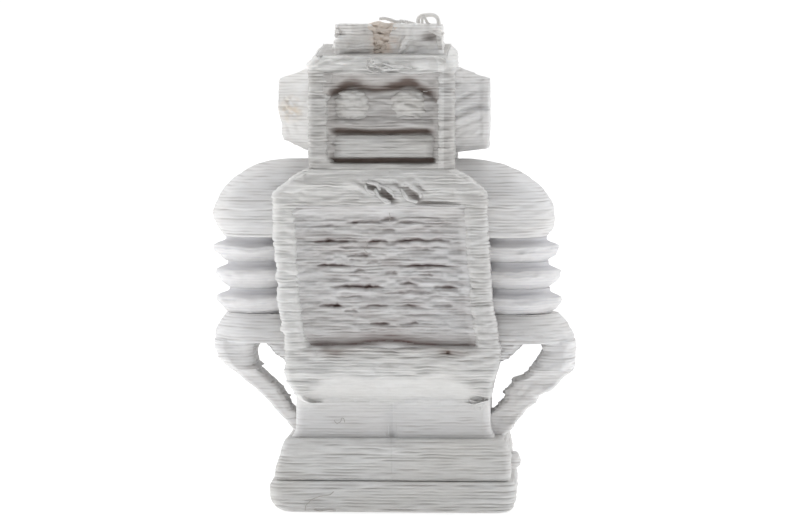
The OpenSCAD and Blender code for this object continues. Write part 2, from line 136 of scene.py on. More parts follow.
class Solid:
    """Collects rings of equal length and closes them with laid-line caps."""

    def __init__(self):
        self.rings = []

    def add(self, P, z, painted_shading=0.0):
        z = np.broadcast_to(np.asarray(z, float), (len(P),))
        h = np.broadcast_to(np.asarray(painted_shading, float), (len(P),))
        self.rings.append(np.column_stack([P, z, h]))

    @staticmethod
    def stitch(P, split):
        """Triangles between the outer side 0..split and the inner side, run backwards."""
        n = len(P)
        o, q = np.arange(split + 1), np.arange(n - 1, split, -1)

        def along(idx):
            d = np.concatenate([[0], np.cumsum(np.linalg.norm(np.diff(P[idx, :2], axis=0), axis=1))])
            return d / d[-1]

        so, sq = along(o), along(q)
        i = j = 0
        out = []
        while i < len(o) - 1 or j < len(q) - 1:
            if j == len(q) - 1 or (i < len(o) - 1 and so[i + 1] <= sq[j + 1]):
                out.append((o[i], o[i + 1], q[j]))
                i += 1
            else:
                out.append((o[i], q[j + 1], q[j]))
                j += 1
        return np.array(out)

    def build(self, name, cap_k=(14, 14), line=0.05, post=None, split=None):
        R = self.rings
        n = len(R[0])
        rings = list(R)

        def cap(P, k, sign, layer):
            c = (P[:, 0].min() + P[:, 0].max()) / 2, (P[:, 1].min() + P[:, 1].max()) / 2
            c = np.array(c)
            half = max(1e-3, min(np.ptp(P[:, 0]), np.ptp(P[:, 1])) / 2)
            z0 = P[:, 2].max() if sign > 0 else P[:, 2].min()
            out = []
            for j in range(1, k + 1):
                s = 1 - j / (k + 0.5)
                d = (1 - s) * half
                Q = c + (P[:, :2] - c) * s
                edge = min(1.0, d / 0.25)
                inner = ease(0.7, 1.0, d)
                lines = (1 - inner) * (-0.5 + 0.5 * np.cos(2 * np.pi * (d - 0.2) / 0.42)) + inner * raster(Q[:, 0], Q[:, 1], layer)
                z = z0 + sign * edge * (0.03 + line * lines + 0.03 * vnoise(Q[:, 0] / 1.5, Q[:, 1] / 1.5, 7.7, 23))
                # the grooves between the cap's laid lines get painted shade
                out.append(np.column_stack([Q, z, -0.15 * lines]))
            return out

        kb, kt = cap_k
        if kb:
            rings = cap(R[0], kb, -1, 0)[::-1] + rings
        if kt:
            rings = rings + cap(R[-1], kt, 1, 1)
        V = np.concatenate(rings)
        if post is not None:
            V[:, :3] = post(V[:, :3])
        m = len(rings)
        idx = np.arange(m * n).reshape(m, n)
        a, b = idx[:-1], idx[1:]
        quads = np.stack([a, np.roll(a, -1, 1), np.roll(b, -1, 1), b], -1).reshape(-1, 4)
        if split is not None:
            t = self.stitch(R[0], split)
            tris = np.concatenate([idx[0][t[:, ::-1]], idx[-1][t]])
            return put_mesh(name, V[:, :3], quads, tris, V[:, 3])
        cb = V[idx[0]].mean(0)
        ct = V[idx[-1]].mean(0)
        V = np.vstack([V, cb, ct])
        ib, it = m * n, m * n + 1
        r0, r1 = idx[0], idx[-1]
        tris = np.concatenate([
            np.stack([np.full(n, ib), np.roll(r0, -1), r0], -1),
            np.stack([np.full(n, it), r1, np.roll(r1, -1)], -1)])
        return put_mesh(name, V[:, :3], quads, tris, V[:, 3])


def printed(name, contour, z0, z1, amp=0.08, crev=0.08, seed=1, extra=None, dark=None,
            cap_k=(10, 10), line=0.05, post=None, wave=0.10, split=None):
    """A solid laid down in layers: contour(z) gives its outline at a height.
    amp is how far beads wander, crev how deep the lines between them are, wave
    how far the lines rise and dip. extra(P, N, z, i) moves points further out,
    and dark(P, z, i) adds painted shade (positive) or painted light (negative)
    at each point, on top of the painted shade put in the lines between beads."""
    i0, i1 = int(math.floor(z0 / LH + 1e-6)), int(math.ceil(z1 / LH - 1e-6))
    S = Solid()
    todo = []
    for i in range(i0, i1):
        lo, hi = max(z0, i * LH), min(z1, (i + 1) * LH)
        if hi - lo >= 0.06:
            todo.append((i, lo, hi))

    def at(z, i):
        P = np.asarray(contour(z), float)
        N = outward(P)
        d = (amp(P, z) if callable(amp) else amp) * streak(P[:, 0], P[:, 1], i, seed)
        if extra is not None:
            d = d + extra(P, N, z, i)
        return P, N, d

    def lift(P, z):
        k = wave * ease(0, 0.8, z - z0) * ease(0, 0.8, z1 - z)
        return z + k * (0.7 * vnoise(P[:, 0] / 2.4, P[:, 1] / 2.4, z / 0.9, seed + 37) + 0.4 * vnoise(P[:, 0] / 0.9, P[:, 1] / 0.9, z / 0.5, seed + 38))

    def shade(P, z, i):
        return 0.0 if dark is None else dark(P, z, i)

    last = None
    ends = 0.07 if callable(crev) else crev * 0.8
    # each ring carries painted shade: a little at the piece's ends, more in the lines between beads the more open and
    # deep they are, plus what dark() adds
    for k, (i, lo, hi) in enumerate(todo):
        h = hi - lo
        P, N, d = at(lo, i)
        if k == 0:
            S.add(P + N * (d - ends)[:, None], lo, 0.1 + shade(P, lo, i))
        else:
            # some lines between beads close up and others open
            op = np.clip(0.60 + 1.1 * vnoise(P[:, 0] / 1.9, P[:, 1] / 1.9, i * 1.9, seed + 41), 0.06, 1.6)
            cv = crev(P, lo) if callable(crev) else crev
            op = op * (cv / 0.085 if callable(crev) else 1.0)
            dd = np.minimum(d, last) - (0.085 if callable(crev) else cv) * op
            S.add(P + N * dd[:, None], lift(P, lo), 0.25 * op + np.clip((np.maximum(d, last) - dd) * 1.3 - 0.08, 0, 0.6) + shade(P, lo, i))
        rough = 0.012 * vnoise(P[:, 0] / 0.3, P[:, 1] / 0.3, i * 7.3, seed + 31)
        for f in (0.30, 0.70):
            z = lo + f * h
            P, N, d = at(z, i)
            S.add(P + N * (d + rough)[:, None], lift(P, z), shade(P, z, i))
        last = d
        if k == len(todo) - 1:
            P, N, d = at(hi - 1e-4, i)
            S.add(P + N * (d - ends)[:, None], np.full(len(P), hi), 0.1 + shade(P, hi, i))
    return S.build(name, cap_k=cap_k, line=line, post=post, split=split)


def tube(name, pts, r, n=10, twist=None):
    """A strand through points, with round ends."""
    p = np.asarray(pts, float)
    s = np.concatenate([[0], np.cumsum(np.linalg.norm(np.diff(p, axis=0), axis=1))])
    m = max(8, int(s[-1] / (r * 0.55)))
    u = np.linspace(0, s[-1], m)
    # smooth the path by a few passes of averaging after resampling
    q = np.column_stack([np.interp(u, s, p[:, k]) for k in range(3)])
    for _ in range(4):
        q[1:-1] = (q[:-2] + 2 * q[1:-1] + q[2:]) / 4
    t = np.gradient(q, axis=0)
    t /= np.linalg.norm(t, axis=1, keepdims=True)
    ref = np.array([0.0, 1.0, 0.0]) if abs(t[0][1]) < 0.9 else np.array([1.0, 0, 0])
    a = np.cross(t[0], ref)
    a /= np.linalg.norm(a)
    rings = []
    ang = np.linspace(0, 2 * np.pi, n, endpoint=False)
    rr = np.full(m, r) if np.isscalar(r) else r
    for k in range(m):
        a = a - t[k] * a.dot(t[k])
        a /= np.linalg.norm(a)
        b = np.cross(t[k], a)
        w = rr[k] * (1 + 0.12 * float(vnoise(k * 0.35, 1.7, 2.2, 77)))
        if k in (0, m - 1):
            w *= 0.45
        rings.append(q[k] + w * (np.cos(ang)[:, None] * a + np.sin(ang)[:, None] * b))
    V = np.concatenate(rings + [q[:1] - t[0] * rr[0] * 0.4, q[-1:] + t[-1] * rr[-1] * 0.4])
    idx = np.arange(m * n).reshape(m, n)
    A, B = idx[:-1], idx[1:]
    quads = np.stack([A, np.roll(A, -1, 1), np.roll(B, -1, 1), B], -1).reshape(-1, 4)
    tris = np.concatenate([np.stack([np.full(n, m * n), np.roll(idx[0], -1), idx[0]], -1),
                           np.stack([np.full(n, m * n + 1), idx[-1], np.roll(idx[-1], -1)], -1)])
    return V, quads, tris


def strands(name, paths, r=0.2, n=10):
    """Several strands as one object."""
    Vs, Qs, Ts, off = [], [], [], 0
    for path in paths:
        rr = r
        if isinstance(path, tuple):
            path, rr = path
        V, q, t = tube(name, path, rr, n)
        Vs.append(V); Qs.append(q + off); Ts.append(t + off)
        off += len(V)
    return put_mesh(name, np.concatenate(Vs), np.concatenate(Qs), np.concatenate(Ts))


# ------------------------------------------------------------------ the body's centre line
LEAN = [(0, 0.2), (12, 0.14), (16.5, 0.1), (21, -0.6), (24, -0.75), (26.5, -0.95), (30, -1.1), (34.3, -1.1),
        (34.5, -0.98), (45.8, -0.98), (60, -0.98)]


def cx(z):
    return float(np.interp(z, [a for a, b in LEAN], [b for a, b in LEAN]))


# ------------------------------------------------------------------ outlines
def block(x0, x1, yf, yb, r, nx, ny, nc=6, front=None, nb=None):
    """Rounded rectangle, counter-clockwise from the front left; front(x) pushes in."""
    r = min(r, (x1 - x0) / 2 - 1e-3, (yb - yf) / 2 - 1e-3)
    pts = []

    def arc(cx_, cy_, a0):
        a = np.radians(a0 + np.linspace(0, 90, nc + 1)[1:-1])
        return np.column_stack([cx_ + r * np.cos(a), cy_ + r * np.sin(a)])

    xs = np.linspace(x0 + r, x1 - r, nx)
    ys = np.linspace(yf + r, yb - r, ny)
    fy = np.full(nx, yf)
    if front is not None:
        fy = fy + front(xs)
    pts.append(np.column_stack([xs, fy]))
    pts.append(arc(x1 - r, yf + r, -90))
    pts.append(np.column_stack([np.full(ny, x1), ys]))
    pts.append(arc(x1 - r, yb - r, 0))
    xb = xs[::-1] if nb is None else np.linspace(x1 - r, x0 + r, nb)
    pts.append(np.column_stack([xb, np.full(len(xb), yb)]))
    pts.append(arc(x0 + r, yb - r, 90))
    pts.append(np.column_stack([np.full(ny, x0), ys[::-1]]))
    pts.append(arc(x0 + r, yf + r, 180))
    return np.concatenate(pts)


def disc(x, y, r, n=150, sy=1.0):
    a = np.linspace(0, 2 * np.pi, n, endpoint=False) - np.pi / 2
    return np.column_stack([x + r * np.cos(a), y + sy * r * np.sin(a)])


# ------------------------------------------------------------------ materials
def plastic(name, base=(0.80, 0.80, 0.79), seed=0.0, rough=0.5, bump=0.12, vary=0.06, tint_spot=None, scatter=0.12, deep=(0.185, 0.14, 0.12)):
    m = bpy.data.materials.new(name)
    m.use_nodes = True
    nt = m.node_tree
    for nd in list(nt.nodes):
        nt.nodes.remove(nd)
    N, L = nt.nodes.new, nt.links.new
    out = N("ShaderNodeOutputMaterial")
    b = N("ShaderNodeBsdfPrincipled")
    L(b.outputs[0], out.inputs[0])
    co = N("ShaderNodeTexCoord")

    def mapped(sx, sy, sz):
        mp = N("ShaderNodeMapping")
        mp.inputs["Scale"].default_value = (sx, sy, sz)
        mp.inputs["Location"].default_value = (seed * 3.1, seed * 1.7, seed * 2.3)
        L(co.outputs["Object"], mp.inputs[0])
        return mp

    def noise(mp, scale, detail, rgh=0.55):
        t = N("ShaderNodeTexNoise")
        t.inputs["Scale"].default_value = scale
        t.inputs["Detail"].default_value = detail
        t.inputs["Roughness"].default_value = rgh
        L(mp.outputs[0], t.inputs["Vector"])
        return t

    long = noise(mapped(420, 420, 3300), 1.0, 5)       # streaks that follow the layers
    fine = noise(mapped(2600, 2600, 9000), 1.0, 2)     # grain of the bead's skin
    broad = noise(mapped(120, 120, 160), 1.0, 2)       # slow cloudiness of the plastic
    ramp = N("ShaderNodeValToRGB")
    lo = tuple(c * (1 - vary * 1.6) for c in base)
    hi = tuple(min(1, c * (1 + vary * 0.5)) for c in base)
    ramp.color_ramp.elements[0].position = 0.30
    ramp.color_ramp.elements[0].color = (lo[0], lo[1] * 0.992, lo[2] * 0.985, 1)
    ramp.color_ramp.elements[1].position = 0.72
    ramp.color_ramp.elements[1].color = (*hi, 1)
    L(long.outputs["Fac"], ramp.inputs[0])
    cloud = N("ShaderNodeValToRGB")
    cloud.color_ramp.elements[0].color = (0.965, 0.955, 0.94, 1)
    cloud.color_ramp.elements[0].position = 0.35
    cloud.color_ramp.elements[1].color = (1, 1, 1, 1)
    cloud.color_ramp.elements[1].position = 0.65
    L(broad.outputs["Fac"], cloud.inputs[0])
    mul = N("ShaderNodeMix")
    mul.data_type = "RGBA"
    mul.blend_type = "MULTIPLY"
    mul.inputs["Factor"].default_value = 1.0
    L(ramp.outputs[0], mul.inputs["A"])
    L(cloud.outputs[0], mul.inputs["B"])
    colour = mul.outputs["Result"]
    if tint_spot is not None:
        # a brown tint round a point, broken up by noise: (x, y, z, radius) in mm and the tint
        bx, by, bz, br, tint = tint_spot
        sub = N("ShaderNodeVectorMath")
        sub.operation = "DISTANCE"
        sub.inputs[1].default_value = (bx * 0.001, by * 0.001, bz * 0.001)
        L(co.outputs["Object"], sub.inputs[0])
        rg = N("ShaderNodeMapRange")
        rg.inputs["From Min"].default_value = br * 0.00035
        rg.inputs["From Max"].default_value = br * 0.001
        rg.inputs["To Min"].default_value = 1.0
        rg.inputs["To Max"].default_value = 0.0
        L(sub.outputs["Value"], rg.inputs["Value"])
        spot = noise(mapped(900, 900, 1500), 1.0, 3)
        mm = N("ShaderNodeMath")
        mm.operation = "MULTIPLY"
        L(rg.outputs[0], mm.inputs[0])
        sr = N("ShaderNodeMapRange")
        sr.inputs["From Min"].default_value = 0.35
        sr.inputs["From Max"].default_value = 0.62
        L(spot.outputs["Fac"], sr.inputs["Value"])
        L(sr.outputs[0], mm.inputs[1])
        mx = N("ShaderNodeMix")
        mx.data_type = "RGBA"
        L(mm.outputs[0], mx.inputs["Factor"])
        L(colour, mx.inputs["A"])
        mx.inputs["B"].default_value = (*tint, 1)
        colour = mx.outputs["Result"]
    at = N("ShaderNodeAttribute")       # painted shade: the attribute mixes towards deep, the painted shade colour, in crevices, and its negative mixes towards a pale painted highlight
    at.attribute_type = "GEOMETRY"
    at.attribute_name = "painted_shading"
    mh = N("ShaderNodeMix")
    mh.data_type = "RGBA"
    L(at.outputs["Fac"], mh.inputs["Factor"])
    neg = N("ShaderNodeMath")
    neg.operation = "MULTIPLY"
    neg.use_clamp = True
    neg.inputs[1].default_value = -1.0
    L(at.outputs["Fac"], neg.inputs[0])
    pale = N("ShaderNodeMix")
    pale.data_type = "RGBA"
    L(neg.outputs[0], pale.inputs["Factor"])
    L(colour, pale.inputs["A"])
    pale.inputs["B"].default_value = (0.93, 0.925, 0.905, 1)
    L(pale.outputs["Result"], mh.inputs["A"])
    mh.inputs["B"].default_value = (*deep, 1)
    L(mh.outputs["Result"], b.inputs["Base Color"])
    rr = N("ShaderNodeMapRange")
    rr.inputs["To Min"].default_value = rough - 0.08
    rr.inputs["To Max"].default_value = rough + 0.12
    L(long.outputs["Fac"], rr.inputs["Value"])
    L(rr.outputs[0], b.inputs["Roughness"])
    add = N("ShaderNodeMath")
    add.operation = "MULTIPLY_ADD"
    L(fine.outputs["Fac"], add.inputs[0])
    add.inputs[1].default_value = 0.35
    L(long.outputs["Fac"], add.inputs[2])
    bp = N("ShaderNodeBump")
    bp.inputs["Strength"].default_value = bump
    bp.inputs["Distance"].default_value = 0.0002
    L(add.outputs[0], bp.inputs["Height"])
    L(bp.outputs[0], b.inputs["Normal"])
    b.inputs["Subsurface Weight"].default_value = scatter
    b.inputs["Subsurface Radius"].default_value = (1.0, 0.9, 0.8)
    b.inputs["Subsurface Scale"].default_value = 0.0007
    b.inputs["IOR"].default_value = 1.46
    b.inputs["Specular IOR Level"].default_value = 0.42
    return m


# One white plastic in many copies whose base colours paint light and shade: darker copies for the head, face, eyes,
# mouth bar and chest recess paint the shade in and round the recesses; brighter copies for the arms, bellows, strut,
# left ear and cap paint light, the glow of thin plastic against the back light and the bright rims; the slab, legs,
# torso and right ear are toned the same way. The bluish bellows and brown recess shade colours are painted shade.
MAT = {
    "slab": plastic("white_base", base=(0.765, 0.765, 0.757), seed=5, vary=0.10),
    "leg": plastic("white_leg", base=(0.815, 0.815, 0.82), seed=1, vary=0.05),
    "torso": plastic("white_torso", base=(0.79, 0.79, 0.785), seed=2, vary=0.12),
    "head": plastic("white_head", base=(0.675, 0.67, 0.66), seed=3, vary=0.18),
    "arm": plastic("white_arm", base=(0.855, 0.855, 0.86), seed=4, vary=0.05),
    "bellows": plastic("white_bellows", base=(0.86, 0.86, 0.87), seed=13, vary=0.05, deep=(0.50, 0.50, 0.56)),
    "recess": plastic("white_recess", base=(0.75, 0.75, 0.755), seed=6, vary=0.14, rough=0.46, deep=(0.24, 0.16, 0.145)),
    "face": plastic("white_face", base=(0.63, 0.62, 0.61), seed=14, vary=0.14, rough=0.46),
    "eye": plastic("white_eye", base=(0.68, 0.675, 0.66), seed=16, vary=0.12, rough=0.46),
    "ear_r": plastic("white_ear_r", base=(0.80, 0.80, 0.80), seed=17, vary=0.08),
    "ear": plastic("white_ear", base=(0.92, 0.92, 0.915), seed=7, vary=0.06, tint_spot=(-10.2, -4.0, 40.3, 1.6, (0.76, 0.68, 0.58))),
    "cap": plastic("white_cap", base=(0.97, 0.96, 0.945), seed=8, vary=0.10, tint_spot=(-0.9, -4.3, 47.0, 2.0, (0.78, 0.64, 0.54))),
    "strut": plastic("white_strut", base=(0.88, 0.88, 0.885), seed=9, vary=0.05),
    "strand": plastic("clear_strand", base=(0.92, 0.915, 0.90), seed=10, rough=0.38, bump=0.05),
    "hair": plastic("hair_strand", base=(0.50, 0.48, 0.46), seed=15, rough=0.5, bump=0.05),
    "inner": plastic("tan_inner", base=(0.86, 0.77, 0.69), seed=11, vary=0.15, rough=0.42),
    "grid": plastic("inner_grid", base=(0.70, 0.62, 0.54), seed=12),
}


def dress(o, mat, slot, *nodes):
    o.data.materials.clear()
    o.data.materials.append(MAT[mat])
    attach(o, "root")
    if nodes:
        for nd in nodes:
            assert nd in NODE_NAMES, nd
        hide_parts(*nodes)
    return o


# ------------------------------------------------------------------ base
def tab(z, *pairs):
    """Value at z from (z, value) pairs given in rising z."""
    return float(np.interp(z, [q[0] for q in pairs], [q[1] for q in pairs]))


def slab_contour(z):
    c = cx(z)
    il = tab(z, (0, 1.15), (0.25, 0.72), (0.6, 0.36), (1.0, 0.12), (1.5, 0.0), (2.6, 0.0), (3.1, 0.22))
    ir = tab(z, (0, 0.75), (0.25, 0.40), (0.6, 0.18), (1.0, 0.05), (1.5, 0.0), (2.6, 0.02), (3.1, 0.25))
    fr = tab(z, (0, 0.12), (0.3, 0.0), (2.7, 0.0), (3.1, 0.12))
    return block(c - 12.42 + il, c + 12.4 - ir, -7.8 + fr, 7.8 - fr, 1.5, 120, 70, 10)


def slab_extra(P, N, z, i):
    x = P[:, 0]
    k = ease(1.3, 2.3, z)
    return 0.05 * k * vnoise(x / 2.5, P[:, 1] / 2.5, z / 0.32, 14) + 0.09 * ease(3, 9, x) * vnoise(x / 2.0, P[:, 1], (z + 0.05 * x) / 0.35, 15)


o = printed("base_slab_skin", slab_contour, 0, 3.1, amp=0.026, crev=0.08, seed=11, extra=slab_extra, cap_k=(30, 12), line=0.04, wave=0.05)
dress(o, "slab", "body", "base_slab")

for s, nm in ((-1, "left"), (1, "right")):
    def half(w, r, t, yl, s, over, mid):
        """One side of the base: runs on past the middle, diving under its twin."""
        dive = lambda x: over * np.clip((0.05 - x) / 0.7, 0, 1) ** 1.4 + mid * bump1(x, 0, 0.7)
        P = block(-1.0, w, -yl + t, yl - t, r, 74, 64, 8, front=dive)
        bk = P[:, 1] > 0
        P[bk, 1] -= dive(P[bk, 0])
        if s < 0:
            P[:, 0] *= -1
            P = P[::-1]
        return P

    def foot_c(z, s=s):
        if s < 0:
            w = tab(z, (3.1, 11.75), (3.5, 11.95), (4.4, 11.85), (5.4, 11.45), (6.4, 11.2), (7.0, 10.95), (7.3, 10.5))
        else:
            w = tab(z, (3.1, 11.7), (3.5, 11.9), (5.4, 11.9), (6.2, 11.75), (6.9, 11.45), (7.3, 11.0))
        t = tab(z, (3.1, 0.22), (3.45, 0.0), (6.8, 0.0), (7.3, 0.28))
        P = half(w, 0.95, t, 7.4, s, 0.6, 0.0)
        P[:, 0] += cx(5)
        return P

    def leg_c(z, s=s):
        w = 9.8 + tab(z, (7.3, 0.45), (7.9, 0.1), (8.6, 0), (12, 0))
        P = half(w, 0.9, 0.0, 6.15, s, 0.7, 0.05 + 0.10 * float(ease(9.5, 7.3, z)))
        P[:, 0] += cx(9)
        return P

    def foot_extra(P, N, z, i, s=s):
        x, y = P[:, 0], P[:, 1]
        # lines run together in the lower half and waver above it
        k = ease(5.0, 6.2, z)
        d = 0.07 * k * vnoise(x / 1.9, y / 1.9, z / 0.32, 24)
        # the notch and the small blob at the middle of the top edge
        fr = (y < -6.9) * 1.0
        d = d - fr * 0.40 * bump1(x, cx(5) - 0.05, 0.30) * bump1(z, 7.3, 0.25) + fr * 0.16 * bump1(x, cx(5) + 0.15, 0.32) * bump1(z, 6.75, 0.22)
        return d

    def leg_extra(P, N, z, i, s=s):
        x, y = P[:, 0], P[:, 1]
        fr = (y < -5.9) * 1.0
        d = -fr * (0.30 * bump1(x, cx(9) - 0.1, 0.45) * bump1(z, 7.5, 0.5) + 0.10 * bump1(x, cx(9), 0.8) * ease(7.3, 8.4, z))
        # small beads left where the legs start
        d = d + fr * 0.10 * bump1(z, 11.0, 0.3) * np.clip(vnoise(x / 0.5, 0.2, z / 0.3, 34), 0, 1)
        return d

    o = printed(nm + "_foot_skin", foot_c, 3.1, 7.3, amp=0.030, crev=0.07, seed=21, extra=foot_extra, cap_k=(8, 26), wave=0.08)
    dress(o, "slab", "body", nm + "_foot")
    # the legs get painted light, paler towards their top
    o = printed(nm + "_leg_skin", leg_c, 7.25, 11.75, amp=0.028, crev=0.035, seed=31, extra=leg_extra, cap_k=(6, 6), wave=0.10,
                dark=lambda P, z, i: -0.45 * float(ease(8.6, 11.6, z)))
    dress(o, "leg", "body", nm + "_leg")

# ------------------------------------------------------------------ torso
THW = 10.8
REC_Z0, REC_Z1 = 16.45, 30.75


def torso_half(z, s):
    k = 0.0
    if z > 32.0:
        k = tab(z, (32.0, 0.0), (32.4, 0.35), (33.6, 1.9), (34.15, 2.8), (34.4, 3.3))
    if s < 0:
        return THW + tab(z, (10.9, -2.1), (11.2, -1.40), (11.8, -0.95), (12.6, -0.35), (13.4, 0.0), (16, 0.0)) - k
    return THW + tab(z, (10.9, -1.8), (11.2, -1.0), (12.2, -0.75), (13.2, -0.45), (14.4, -0.1), (15.4, 0.1), (20, 0.05), (22, 0.0)) - k


def rec_lim(z):
    c = cx(z)
    return c - THW + 2.35, c + THW - 2.35


def recess(xs, z):
    """0 on the frame, 1 on the panel: soft at the sides, drawn out at the top."""
    x0, x1 = rec_lim(z)
    wob = 0.10 * vnoise(0.3, 0.7, z / LH, 91)
    side = ease(x0 - 0.35 + wob, x0 + 0.75 + wob, xs) * ease(x1 + 0.30 + wob, x1 - 0.45 + wob, xs)
    return side * float(ease(REC_Z1, REC_Z1 - 1.0, z)) * float(ease(REC_Z0, REC_Z0 + 0.22, z))


def foot_edge(x, z):
    """Height where the torso's rough layers give way to the smooth slope below."""
    a = np.abs(x - cx(12))
    return 11.15 + 2.35 * ease(9.7, 5.6, a) + 0.12 * vnoise(x / 0.9, 0.3, 0.4, 93)


def smooth_foot(P, z):
    if z > 14.6:
        return np.zeros(len(P))
    return ease(0.35, -0.35, z - foot_edge(P[:, 0], z)) * (P[:, 1] < -5.0)


def torso_front(xs, z):
    """How far the torso's front is set back at each x."""
    f = np.full_like(xs, 0.0)
    if z < 14.6:
        e = foot_edge(xs, z)
        f += 1.05 * ease(e + 0.7, e - 2.3 + 1.9 * ease(5.6, 9.7, np.abs(xs - cx(12))), z)
    f += 1.95 * recess(xs, z)
    x0, x1 = rec_lim(z)
    # a raised lip runs down the right of the recess
    if REC_Z0 + 0.3 < z < REC_Z1:
        f -= 0.16 * bump1(xs, x1 + 0.42, 0.28)
        f -= 0.05 * bump1(xs, x0 - 0.45, 0.4)
    f += 0.40 * float(ease(33.0, 34.4, z))
    return f


def torso_contour(z):
    c = cx(z)
    return block(c - torso_half(z, -1), c + torso_half(z, 1), -7.2, 6.4, 0.85, 174, 40, 7, front=lambda xs: torso_front(xs, z), nb=72)


# Holes torn in the ledge over the recess: x, z, half length, half height, slope, depth
TORN = [(-1.75, 32.55, 0.85, 0.28, -0.55, 0.75), (-0.55, 31.95, 1.15, 0.36, -0.75, 0.85), (2.1, 32.0, 1.15, 0.38, -0.80, 0.75),
        (4.3, 30.95, 2.2, 0.20, -0.06, 0.50), (-2.8, 32.9, 0.7, 0.2, -0.45, 0.35), (0.9, 32.75, 0.7, 0.2, -0.6, 0.40),
        (3.1, 32.5, 0.8, 0.18, -0.7, 0.35)]


def torn(x, z):
    h = np.zeros_like(x)
    for a, b, la, lb, sl, dp in TORN:
        n = math.hypot(1, sl)
        u = ((x - a) + (z - b) * sl) / n
        v = ((z - b) - (x - a) * sl) / n
        h = np.maximum(h, dp * np.exp(-np.abs(u / la) ** 3 - np.abs(v / lb) ** 3))
    return h


def torso_extra(P, N, z, i):
    x, y = P[:, 0], P[:, 1]
    fr = (y < -5.5) * 1.0
    c = cx(z)
    x0, x1 = rec_lim(z)
    on_frame = np.maximum(ease(x0 + 0.3, x0 - 0.4, x), ease(x1 - 0.2, x1 + 0.3, x))
    if z > REC_Z1 or z < REC_Z0:
        on_frame = np.ones_like(x)
    out = 0.055 * vnoise(x / 1.9, y / 1.9, (z + 0.05 * x) / 0.42, 50) * (1 - smooth_foot(P, z))
    # the frame's two sides: coarse beads that sag as they turn the corner
    sag = z + np.where(x < c, 0.16, -0.20) * np.abs(x - c - np.where(x < c, -9.6, 9.6))
    k = on_frame * fr * (np.abs(x - c) > 7.5) * ease(14.0, 15.5, z)
    out = out + k * (0.09 * vnoise(x / 2.2, y / 2.2, sag / 0.40, 55) + 0.09 * vnoise(x / 0.9, y / 0.9, sag / 0.3, 56))
    # ledge over the recess: wavering beads round the torn patch
    w2 = fr * ease(30.7, 31.2, z) * ease(34.6, 34.0, z)
    tilt = z + 0.05 * (x - c) * np.sign(x - c - 1.0)
    out = out + w2 * (0.26 * vnoise(x / 2.0, 0.3, tilt / 0.42, 53) + 0.07 * vnoise(x / 0.7, 0.3, tilt / 0.3, 57))
    # curled edges beside the holes, and the holes
    near = ease(-5.0, -3.6, x) * ease(5.4, 3.6, x) * ease(31.0, 31.6, z) * ease(33.9, 33.2, z)
    diag = (z + 0.62 * x)
    out = out + fr * near * (0.22 * vnoise(diag / 0.42, (x - z) / 1.6, 1.7, 52) + 0.10 * vnoise(x / 0.4, z / 0.3, 2.7, 58))
    out = out - fr * torn(x, z)
    # small scrap at the ledge's right end
    out = out + fr * 0.16 * bump1(x, 7.3, 0.5) * bump1(z, 30.6, 0.5) * vnoise(x / 0.3, z / 0.25, 0.4, 59)
    # under the recess: rough near it, smooth on the slope
    w3 = fr * (1 - smooth_foot(P, z)) * ease(16.6, 16.2, z)
    out = out + w3 * (0.22 * vnoise(x / 1.7, 0.4, (z - 0.05 * np.abs(x - 0.5)) / 0.40, 60) + 0.05 * vnoise(x / 0.6, 0.4, z / 0.3, 62))
    w4 = fr * ease(3.0, 8.5, x) * ease(15.2, 13.2, z) * (1 - smooth_foot(P, z))
    out = out + w4 * 0.15 * vnoise(x / 1.3, 0.4, (z + 0.20 * x) / 0.42, 54)
    # hole in the lower right corner
    out = out - fr * 0.6 * np.exp(-np.abs((x - 9.0) / 0.75) ** 3 - np.abs((z - 11.40) / 0.24) ** 3)
    # dark speck by the recess's lower right corner
    out = out - fr * 0.35 * bump1(x, fx(448), 0.12) * bump1(z, fz(353.5), 0.12)
    return out


# Painted shade and painted light on the torso: darker in the torn holes, the corner hole, by the speck and in the
# patches under the recess; paler, as painted light, on the bottom slope, near the top over the recess ledge and up the
# left frame's edge.
def torso_dark(P, z, i):
    x, y = P[:, 0], P[:, 1]
    fr = (y < -5.0) * 1.0
    d = fr * torn(x, z) * 0.85 - fr * (0.26 * ease(15.5, 13.6, z) + 0.24 * smooth_foot(P, z)) - 0.22 * ease(31.2, 32.4, z) - fr * 0.30 * ease(-8.2, -9.4, x) * ease(33, 31, z)
    d = d + fr * 0.60 * np.exp(-np.abs((x - 9.0) / 0.75) ** 3 - np.abs((z - 11.40) / 0.24) ** 3)
    d = d + fr * 0.8 * bump1(x, fx(448), 0.15) * bump1(z, fz(353.5), 0.14)
    # painted brown shade in patches just under the recess
    if 15.0 < z < 16.8:
        g = 1 + 0.9 * vnoise(x / 1.1, 0.2, z / 0.33, 94)
        d = d + fr * g * (0.60 * bump1(x, fx(338), 2.3) * bump1(z, fz(351.5), 0.48) + 0.52 * bump1(x, fx(452), 1.9) * bump1(z, fz(352.5), 0.44)
                          + 0.20 * bump1(x, fx(395), 3.0) * bump1(z, fz(349.5), 0.25))
    return d


def fx(p):
    return (p - 394) / 9.97 + 0.37


def fz(p):
    return 30.54 - (p - 208) * 0.10006


o = printed("torso_skin", torso_contour, 10.9, 34.4, amp=lambda P, z: 0.075 * (1 - 0.7 * smooth_foot(P, z)), crev=lambda P, z: 0.085 * (1 - 0.75 * smooth_foot(P, z)), seed=41, extra=torso_extra, dark=torso_dark, cap_k=(8, 22), wave=0.12)
dress(o, "torso", "body", "torso_shell", "chest_frame")

